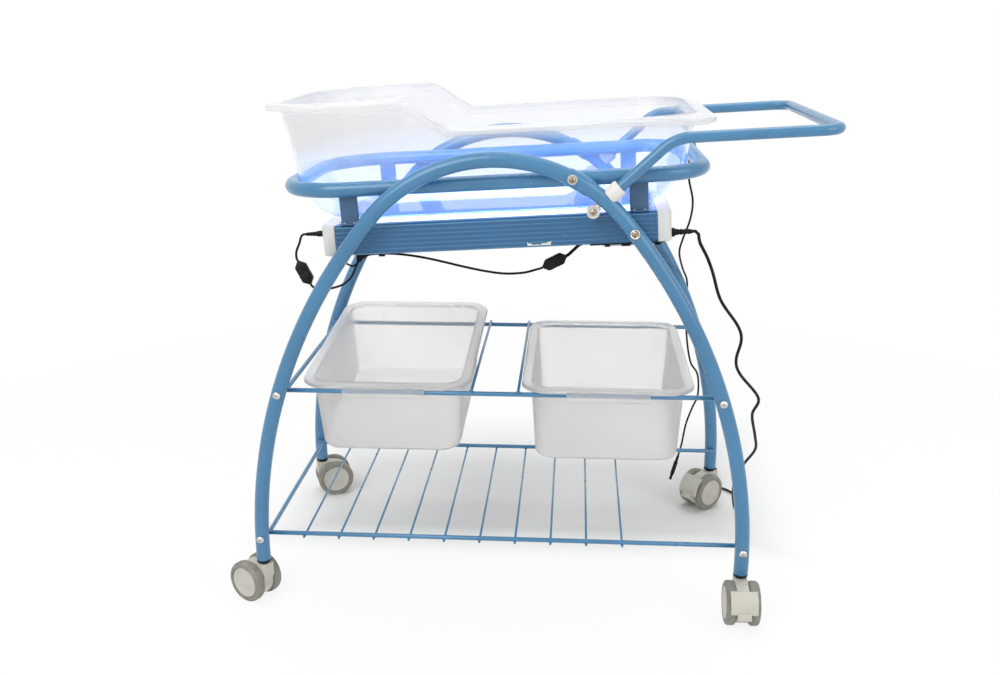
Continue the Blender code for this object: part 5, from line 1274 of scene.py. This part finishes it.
def makeRingClip():  # band on the ring's end bar, which the thin lead hangs from
    size = tubRing
    r = size["radius"] + size["clipGap"]
    far = r + size["clipT"]
    w = size["clipHalfW"]
    top = bedPlace.inverted() @ Vector(thinLead["top"])
    band = [(r, -w), (far - 0.0005, -w), (far, 0.0005 - w), (far, w - 0.0005), (far - 0.0005, w), (r, w)]
    clip = lathe("ringClip", band, (size["x1"], top.y, size["z"]), (0, 1, 0), 48, True)
    x, y = size["stemHalf"]
    block = flatBox(top.x - x, top.x + x, top.y - y, top.y + y, top.z + fit)
    stem = pull("clipStem", block, (0, 0, size["z"] - size["radius"] - top.z - 0.001))
    soften(stem, 0.0008, 3)
    settleOnBed(joined("ringClip", [clip, stem]), "frame", blackPlastic, "black_plastic", "ring_clip")


makeRing()
makeRingClip()
print("ring made")

# clear tub: heights above the light box
tub = {
    "wall": 0.004, "low": 0.148, "hood": 0.197, "hoodEnd": -0.136, "slopeEnd": -0.068, "slopeSoft": 0.012,
    "lip": 0.009, "lipWall": 0.003, "droop": 0.009, "droopRun": 0.036, "rimMilk": 0.026, "rimFade": 0.014,
    "flangeX": (-0.379, 0.361), "flangeHalfW": 0.232, "flangeR": (0.125, 0.110),
    "rimX": (-0.358, 0.331), "rimHalfW": 0.200, "rimR": (0.100, 0.085), "corner": 18,
    "levels": (
        (-0.278, 0.250, 0.1460, 0.070, 0.060, 0.0), (-0.303, 0.273, 0.1640, 0.082, 0.070, 0.0075),
        (-0.325, 0.294, 0.1745, 0.090, 0.076, 0.0300), (-0.340, 0.315, 0.1775, 0.092, 0.080, 0.0585),
    ),
    "foot": 0.016, "between": (0.35, 0.7), "flare": 1.35, "slopeStraight": 0.35, "steps": 4,
}
tubStops = [0.20, 0.11, 0.02, -0.02, -0.045] + [-0.056 - 0.0115 * i for i in range(9)] + [-0.17, -0.20]


def rimHeight(x):  # hood, slope and low rim along the tub, with soft turns
    run = tub["slopeEnd"] - tub["hoodEnd"]
    soft = tub["slopeSoft"]
    share = min(1, max(0, (x - tub["hoodEnd"]) / run))
    wide = min(1, max(0, (x - tub["hoodEnd"] + soft) / (run + 2 * soft)))
    straight = tub["slopeStraight"]
    share = straight * share + (1 - straight) * wide * wide * (3 - 2 * wide)
    return tub["hood"] + (tub["low"] - tub["hood"]) * share


def tubRings(inset):  # rings from the bottom to the rim, smoothed between levels
    rings = []
    for x0, x1, w, r0, r1, z in tub["levels"]:
        ring = roundedBox(x0 + inset, x1 - inset, w - inset, r0 - inset, r1 - inset, tub["corner"], tubStops)
        lift = z if not inset or z > tub["foot"] else max(z, inset)
        rings.append([Vector((x, y, lift)) for x, y in ring])
    wall = rings[-1]
    ends = (tub["rimX"][0] + inset, tub["rimX"][1] - inset)
    rim = roundedBox(*ends, tub["rimHalfW"] - inset, *tub["rimR"], tub["corner"], tubStops)
    drop = 0 if inset else tub["wall"]
    top = [Vector((x, y, rimHeight(x) - drop)) for x, y in rim]
    for share in tub["between"]:
        ring = []
        for low, high in zip(wall, top):
            point = low.lerp(high, share ** tub["flare"])
            point.z = low.z + (high.z - low.z) * share
            ring.append(point)
        rings.append(ring)
    rings.append(top)
    fine = []
    for i in range(len(rings) - 1):
        before = rings[max(0, i - 1)]
        after = rings[min(len(rings) - 1, i + 2)]
        for k in range(tub["steps"]):
            u = k / tub["steps"]
            ring = []
            for a, b, c, d in zip(before, rings[i], rings[i + 1], after):
                bend = a * 2 - b * 5 + c * 4 - d
                twist = b * 3 - a - c * 3 + d
                ring.append((b * 2 + (c - a) * u + bend * u * u + twist * u ** 3) / 2)
            if i == 0 and k:
                for point in ring:
                    point.z = max(point.z, rings[0][0].z)
            fine.append(ring)
    fine.append(rings[-1])
    return fine


def makeTub():
    outer = tubRings(0)
    inner = tubRings(tub["wall"])
    t = tub["lipWall"]
    lip = tub["lip"]

    def flange(inset):
        ends = (tub["flangeX"][0] + inset, tub["flangeX"][1] - inset)
        radii = (tub["flangeR"][0] - inset, tub["flangeR"][1] - inset)
        return roundedBox(*ends, tub["flangeHalfW"] - inset, *radii, tub["corner"], tubStops)

    heights = []
    for (x, y), point in zip(flange(0), inner[-1]):
        share = (x - point.x) / tub["droopRun"] if x > 0 else 0
        share = min(1, max(0, share))
        heights.append(point.z - tub["droop"] * share * share * (3 - 2 * share))

    def level(inset, drop):
        return [Vector((x, y, z - drop)) for (x, y), z in zip(flange(inset), heights)]

    def between(first, second, share, lift):  # ring part-way across the flange
        ring = [a.lerp(b, share) for a, b in zip(first, second)]
        return [point + Vector((0, 0, lift)) for point in ring]

    # outside, underside of the flange, its rolled edge, its top and the inside
    under = level(t, tub["wall"])
    over = level(t + 0.002, 0)
    rolled = [(t, lip - 0.0005), (t * 0.8, lip), (t * 0.2, lip), (0, lip - 0.0007)]
    rolled += [(0, 0.0040), (0.0006, 0.0020), (0.0020, 0.0006), (t + 0.0012, 0)]
    rings = [*outer, between(outer[-1], under, 0.12, -0.0012), between(outer[-1], under, 0.5, 0), under]
    rings += [level(inset, drop) for inset, drop in rolled]
    rings += [between(over, inner[-1], 0.5, 0), between(over, inner[-1], 0.93, 0.0002), *reversed(inner)]
    floor = lampBox["height"] + fit
    shell = growRings("clearTub", [[point + Vector((0, 0, floor)) for point in ring] for ring in rings])
    marks = shell.data.attributes.new("rim", "FLOAT", "POINT")  # 1 on the flange, 0 below it
    for mark, vert in zip(marks.data, shell.data.vertices):
        below = rimHeight(vert.co.x) + floor - vert.co.z
        mark.value = min(1, max(0, (tub["rimMilk"] - below) / tub["rimFade"]))
    settleOnBed(shell, "basin", clearAcrylic, "clear_acrylic", "basin", angle=40)
    shell.visible_shadow = False  # clear plastic lets the lamps' light down to the box


makeTub()
print("tub made")

# storage bins, one part twice
storageBin = {
    "topL": 0.262, "topW": 0.389, "rimL": 0.294, "rimW": 0.430, "footL": 0.248, "footW": 0.369,
    "depth": 0.132, "wall": 0.0025, "rimH": 0.006, "corner": 0.036, "footRound": 0.009,
    "lipW": 0.140, "lipOut": 0.006, "lipT": 0.0025, "lipDrop": 0.012, "lipTop": 0.003,
    "stopX": 0.070, "stopW": 0.006, "stopReach": 0.007, "stopDrop": 0.033, "stopRoot": 0.0042,
    "stopEdge": 0.002, "rodGap": 0.0015, "leftShift": 0.005, "leftLift": 0.0012,
}


def binRing(long, wide, radius, z):
    return [Vector((x, y, z)) for x, y in roundedBox(-long / 2, long / 2, wide / 2, radius, radius, 14)]


def binFoot(wall, turns):  # rounded foot, on the outside or one wall further in
    size = storageBin
    rings = []
    for turn in turns:
        inset = wall + (size["footRound"] - wall) * (1 - math.sin(math.radians(turn)))
        lift = wall + (size["footRound"] - wall) * (1 - math.cos(math.radians(turn)))
        ends = (size["footL"] - 2 * inset, size["footW"] - 2 * inset)
        rings.append(binRing(*ends, size["corner"] - inset, lift - size["depth"]))
    return rings


def makeBin(name):
    size = storageBin
    t = size["wall"]
    r = size["corner"]
    high = size["rimH"]
    top = (size["topL"], size["topW"])
    rim = (size["rimL"], size["rimW"])
    edge = (  # a size and what is added to it, corner, height
        (top, 0, r, -0.0018), (top, 0.0012, r, 0), (rim, -0.001, r + 0.012, 0), (rim, 0, r + 0.012, 0.0006),
        (rim, 0, r + 0.012, 0.0030), (rim, -0.0014, r + 0.012, 0.0044), (rim, -0.0045, r + 0.010, 0.0056),
        (rim, -0.0085, r + 0.008, high), (top, 0.004, r + 0.002, high),
        (top, 0.003 - 2 * t, r, high - 0.0008), (top, -2 * t, r - t, high - 0.004),
    )
    rings = binFoot(0, range(0, 91, 15))
    rings += [binRing(long + more, wide + more, corner, z) for (long, wide), more, corner, z in edge]
    rings += binFoot(t, range(90, -1, -15))
    shell = growRings(name, rings)
    front = -size["rimW"] / 2
    out = front - size["lipOut"]
    back = out + size["lipT"]
    bend = size["lipTop"]  # the tab's outer edge is rounded right down from its top
    tab = [(front + 0.004, bend), (front + 0.004, 0.0008), (back + 0.0006, 0.0008), (back, 0.0002)]
    tab += [(back, -size["lipDrop"]), (out, -size["lipDrop"]), (out, 0)]
    for turn in (30, 60, 90):
        tab.append((out + bend * (1 - math.cos(math.radians(turn))), bend * math.sin(math.radians(turn))))
    lip = pull("binLip", [(-size["lipW"] / 2, y, z) for y, z in tab], (size["lipW"], 0, 0))
    combine(shell, lip, "UNION")
    y0 = size["topW"] / 2 - size["stopRoot"]
    y1 = size["topW"] / 2 + size["stopReach"]
    low = -size["stopDrop"]
    shape = [(y0, low), (y1 - size["stopEdge"], low), (y1, low + size["stopEdge"]), (y1, 0.001), (y0, 0.001)]
    for x in (-size["stopX"], size["stopX"]):
        stop = pull("binStop", [(x - size["stopW"] / 2, y, z) for y, z in shape], (size["stopW"], 0, 0))
        combine(shell, stop, "UNION")
    return shell


def makeBins():
    size = storageBin
    master = makeBin("binMaster")
    seat = racks["upperZ"] + racks["railR"] + fit
    reach = racks["upperRodR"] + size["rodGap"] + size["rimL"] / 2
    place = Matrix.Translation((racks["upperRods"][1] + reach, 0, seat))
    settle(copied(master, "rightBin", place), "right_bin", milkyPlastic, "milky_plastic", "right_bin")
    # the left bin hooks on the front rail and stands on its stops on the rear rail
    span = racks["railY"] + size["leftShift"] + size["topW"] / 2 + size["stopReach"]
    tilt = math.atan2(size["stopDrop"], span) + size["leftLift"]
    pivot = Vector((racks["upperRods"][0] - reach, -racks["railY"], seat))
    arm = Matrix.Rotation(tilt, 3, "X") @ Vector((0, racks["railY"] + size["leftShift"], 0))
    place = Matrix.Translation(pivot + arm) @ Matrix.Rotation(tilt, 4, "X")
    settle(copied(master, "leftBin", place), "left_bin", milkyPlastic, "milky_plastic", "left_bin")
    discard(master)


makeBins()
print("bins made")

# casters: modelled once in their own place, then set under each leg
caster = {
    "wheelR": 0.038, "treadW": 0.0168, "trail": 0.025, "bodyW": 0.023, "bodyR": 0.0335, "bossR": 0.012,
    "bossLow": 0.012, "topZ": 0.0745, "stemR": 0.0055, "stemL": 0.022, "stemRoot": 0.010, "axleR": 0.003,
    "flangeR": 0.0125, "plugR": 0.0102, "plugL": 0.022, "stemGap": 0.0004, "hubShare": 0.74,
    "pedalW": 0.046, "pedalT": 0.003, "pedalGap": 0.0022, "pedalTop": math.radians(57),
    "pedalLow": math.radians(1), "tabW": 0.023, "tabL": 0.010, "tabLean": (0.49, 0.7), "tabT": 0.002,
    "knuckleW": 0.018,
}
casterPlaces = (("front_left", -1, -1, 150, False), ("front_right", 1, -1, 270, True),
                ("rear_left", -1, 1, 22, False), ("rear_right", 1, 1, 222, True))
wheelNear = caster["bodyW"] / 2 + 2 * fit
wheelFar = wheelNear + caster["treadW"]
hubRadius = caster["wheelR"] * caster["hubShare"]
axlePlace = (caster["trail"], 0, caster["wheelR"])


def makeCasterBody():
    z = caster["wheelR"]
    boss = caster["bossR"]
    top = caster["topZ"]
    outline = [(-boss, top), (boss, top)]
    outline += arcPoints((caster["trail"], z), caster["bodyR"], math.radians(78), math.radians(-188), 44)
    outline += [(-boss, z + caster["bossLow"])]
    body = pull("casterBody", [(x, -caster["bodyW"] / 2, h) for x, h in outline], (0, caster["bodyW"], 0))
    soften(body, 0.0022, 4, 40)
    r = caster["stemR"]
    base = top - caster["stemRoot"]
    tip = top + caster["stemL"]
    stem = [(0, base), (r, base), (r, tip - 0.001), (r - 0.001, tip), (0, tip)]
    combine(body, lathe("stem", stem, (0, 0, 0), (0, 0, 1), 28), "UNION")
    return body


def twinned(name, half, steps, closed=False):  # one profile spun on each side of the body
    profiles = [[(r, side * h) for r, h in half] for side in (-1, 1)]
    return [lathe(name, profile, axlePlace, (0, 1, 0), steps, closed) for profile in profiles]


def makeTreads():
    near = wheelNear
    far = wheelFar
    rim = caster["wheelR"]
    hub = hubRadius
    half = [(hub + 0.0004, near), (rim - 0.0035, near), (rim - 0.0015, near + 0.0009)]
    half += [(rim - 0.0004, near + 0.0024), (rim, near + 0.0042), (rim, far - 0.0056)]
    half += [(rim - 0.0004, far - 0.0036), (rim - 0.0014, far - 0.0018), (rim - 0.0030, far - 0.0004)]
    half += [(rim - 0.0048, far), (hub + 0.0012, far), (hub + 0.0004, far - 0.0008)]
    return joined("treads", twinned("tread", half, 72, True))


def makeHubs():
    near = wheelNear
    far = wheelFar
    hub = hubRadius
    half = [(0, near), (hub - 0.0004, near), (hub - 0.0002, far - 0.0012), (hub - 0.0010, far - 0.0002)]
    half += [(hub - 0.0022, far), (hub - 0.0040, far - 0.0004), (hub - 0.0052, far - 0.0009)]
    half += [(0.0115, far - 0.0009), (0.0105, far - 0.0005), (0.0095, far + 0.0002), (0.0070, far + 0.0006)]
    half += [(0, far + 0.0008)]
    r = caster["axleR"]
    reach = near + 0.001
    axle = lathe("axle", [(0, -reach), (r, -reach), (r, reach), (0, reach)], axlePlace, (0, 1, 0), 24)
    return joined("hubs", [*twinned("hub", half, 56), axle])


def makePedal():
    inR = caster["wheelR"] + caster["pedalGap"]
    reach = caster["bodyR"] + fit
    knuckle = (inR - reach) / 2
    reach += knuckle
    out = Vector((math.cos(caster["pedalTop"]), 0, math.sin(caster["pedalTop"])))
    pivot = Vector(axlePlace) + out * reach
    centre = (caster["trail"], caster["wheelR"])
    inside = arcPoints(centre, inR, caster["pedalTop"], caster["pedalLow"], 18)
    outside = arcPoints(centre, inR + caster["pedalT"], caster["pedalLow"], caster["pedalTop"], 18)
    half = caster["pedalW"] / 2
    plate = pull("pedal", [(x, -half, z) for x, z in inside + outside], (0, caster["pedalW"], 0))
    soften(plate, 0.0011, 3, 40)
    x, z = outside[0]
    tipX = x + caster["tabL"] * caster["tabLean"][0]
    tipZ = z - caster["tabL"] * caster["tabLean"][1]
    tab = [(inside[-1][0] + 0.0006, z + 0.003), (x + 0.001, z + 0.004), (tipX, tipZ)]
    tab += [(tipX - caster["tabT"], tipZ - caster["tabT"])]
    half = caster["tabW"] / 2
    tab = pull("tab", [(x, -half, z) for x, z in tab], (0, caster["tabW"], 0))
    soften(tab, 0.0006, 2)
    combine(plate, tab, "UNION")
    half = caster["knuckleW"] / 2
    pin = lathe("knuckle", [(0, -half), (knuckle, -half), (knuckle, half), (0, half)], pivot, (0, 1, 0), 28)
    combine(plate, pin, "UNION")
    across = Vector((-out.z, 0, out.x)) * knuckle * 0.9
    low = pivot + out * 0.0002
    high = pivot + out * (knuckle + 0.0015)
    shape = [low + across * 0.5, high + across * 0.5, high - across, low - across]
    web = pull("web", [(p.x, -half * 0.9, p.z) for p in shape], (0, half * 1.8, 0))
    combine(plate, web, "UNION")
    return plate


def makeCollar():
    bore = caster["stemR"] + caster["stemGap"]
    low = caster["topZ"] + fit
    top = frameTube["footZ"] - frameTube["radius"] * abs(math.cos(legTurn(frameTube["footZ"]))) - fit
    end = top + caster["plugL"]
    r = caster["flangeR"]
    profile = [(bore, low), (r - 0.0042, low), (r - 0.0036, low + 0.0003), (r - 0.0006, low + 0.0030)]
    profile += [(r, low + 0.0036), (r, top - 0.0006), (r - 0.0006, top)]
    profile += [(caster["plugR"], top), (caster["plugR"], end), (bore, end)]
    return lathe("collar", profile, (0, 0, 0), (0, 0, 1), 40, True)


def makeCasters():
    body = makeCasterBody()
    treads = makeTreads()
    hubs = makeHubs()
    pedal = makePedal()
    collar = makeCollar()
    for name, sx, sy, heading, braked in casterPlaces:
        leg = Matrix.Translation((sx * footX, sy * frameTube["archY"], 0))
        place = leg @ Matrix.Rotation(math.radians(heading), 4, "Z")
        label = "".join(word.capitalize() for word in name.split("_"))
        parts = [
            (body, "casterBody", place, name + "_caster", creamNylon, "cream_nylon", name + "_caster_body"),
            (treads, "treads", place, name + "_wheels", greyTread, "grey_tread", name + "_twin_wheels"),
            (hubs, "hubs", place, name + "_wheels", hubNylon, "cream_nylon"),
            (collar, "collar", leg, "frame", blackPlastic, "black_plastic", name + "_collar"),
        ]
        if braked:
            brake = name + "_brake_pedal"
            parts.append((pedal, "pedal", place, name + "_pedal", creamNylon, "cream_nylon", brake))
        for part, piece, spot, *what in parts:
            settle(copied(part, piece + label, spot), *what)
    discard(body, treads, hubs, pedal, collar)


makeCasters()
print("casters made")

# pale floor with a painted shade patch under and behind the racks, white surroundings and soft studio light
studio = {
    "floorSize": 60, "ambient": 0.50, "openGlow": 0.86, "shade": (0.76, 0.755, 0.74),
    "open": (0.93, 0.93, 0.925), "shadeSide": (0.40, 0.58), "shadeFront": (-0.03, 0.09),
    "shadeBack": (0.40, 0.75), "whiteOut": (0.8, 1.8),
}
studioLights = (
    {"name": "key", "place": (-1.6, -2.4, 3.0), "aim": (0, 0, 0.5), "size": 2.4, "power": 68},
    {"name": "fill", "place": (2.6, -2.0, 2.0), "aim": (0, 0, 0.5), "size": 2.4, "power": 34},
    {"name": "top", "place": (0.2, 0.8, 3.4), "aim": (0, 0, 0.4), "size": 2.6, "power": 46},
)


def cameraShare(tree):  # what the camera sees straight, and what it sees in a mirror or through clear plastic
    path = addNode(tree, "ShaderNodeLightPath").outputs
    return path["Is Camera Ray"], maths(tree, "MAXIMUM", path["Is Glossy Ray"], path["Is Transmission Ray"])


def makeStudio():
    bpy.ops.object.select_all(action="DESELECT")
    bpy.ops.mesh.primitive_plane_add(size=studio["floorSize"])
    floor = bpy.context.object
    floor.name = "floor"
    finish = bpy.data.materials.new("pale floor")
    finish.use_nodes = True
    tree = finish.node_tree
    tree.nodes.remove(tree.nodes["Principled BSDF"])
    matt = addNode(tree, "ShaderNodeBsdfDiffuse")
    glow = addNode(tree, "ShaderNodeEmission", {"Color": (1, 1, 1, 1), "Strength": 1.0})
    mixed = addNode(tree, "ShaderNodeMixShader")
    source = addNode(tree, "ShaderNodeTexCoord").outputs["Object"]
    away = addNode(tree, "ShaderNodeVectorMath", operation="LENGTH")
    parts = addNode(tree, "ShaderNodeSeparateXYZ")
    tree.links.new(source, away.inputs[0])
    tree.links.new(source, parts.inputs["Vector"])
    # painted shade: the floor's colour darkens and its white share drops in a patch under and behind the
    # racks
    sideways = spread(tree, maths(tree, "ABSOLUTE", parts.outputs["X"]), *studio["shadeSide"])
    front = ramp(tree, spread(tree, parts.outputs["Y"], *studio["shadeFront"]), [(0.0, 1.0), (1.0, 0.0)])
    behind = spread(tree, parts.outputs["Y"], *studio["shadeBack"])
    outside = maths(tree, "MAXIMUM", sideways, maths(tree, "MAXIMUM", front, behind))
    tree.links.new(ramp(tree, outside, [(0.0, studio["shade"]), (1.0, studio["open"])]), matt.inputs["Color"])
    far = spread(tree, away.outputs["Value"], *studio["whiteOut"])
    share = maths(tree, "MAXIMUM", ramp(tree, outside, [(0.0, 0.0), (1.0, studio["openGlow"])]), far)
    path, through = cameraShare(tree)
    tree.links.new(maths(tree, "MAXIMUM", maths(tree, "MULTIPLY", path, share), through), mixed.inputs["Fac"])
    tree.links.new(matt.outputs[0], mixed.inputs[1])
    tree.links.new(glow.outputs[0], mixed.inputs[2])
    tree.links.new(mixed.outputs[0], tree.nodes["Material Output"].inputs["Surface"])
    floor.data.materials.append(finish)

    world = bpy.data.worlds.new("studio")
    scene.world = world
    world.use_nodes = True
    tree = world.node_tree
    tree.nodes.clear()
    seen = addNode(tree, "ShaderNodeBackground", {"Color": (1, 1, 1, 1), "Strength": 1.0})
    tint = (0.97, 0.985, 1, 1)
    light = addNode(tree, "ShaderNodeBackground", {"Color": tint, "Strength": studio["ambient"]})
    mixed = addNode(tree, "ShaderNodeMixShader")
    output = addNode(tree, "ShaderNodeOutputWorld")
    tree.links.new(maths(tree, "MAXIMUM", *cameraShare(tree)), mixed.inputs["Fac"])
    tree.links.new(light.outputs[0], mixed.inputs[1])
    tree.links.new(seen.outputs[0], mixed.inputs[2])
    tree.links.new(mixed.outputs[0], output.inputs["Surface"])
    for lamp in studioLights:
        aim = Vector(lamp["aim"]) - Vector(lamp["place"])
        turn = aim.to_track_quat("-Z", "Y").to_euler()
        bpy.ops.object.select_all(action="DESELECT")
        bpy.ops.object.light_add(type="AREA", location=lamp["place"], rotation=turn)
        made = bpy.context.object
        made.name = lamp["name"]
        made.data.shape = "SQUARE"
        made.data.size = lamp["size"]
        made.data.energy = lamp["power"]


makeStudio()
print("studio made")

bpy.context.view_layer.update()
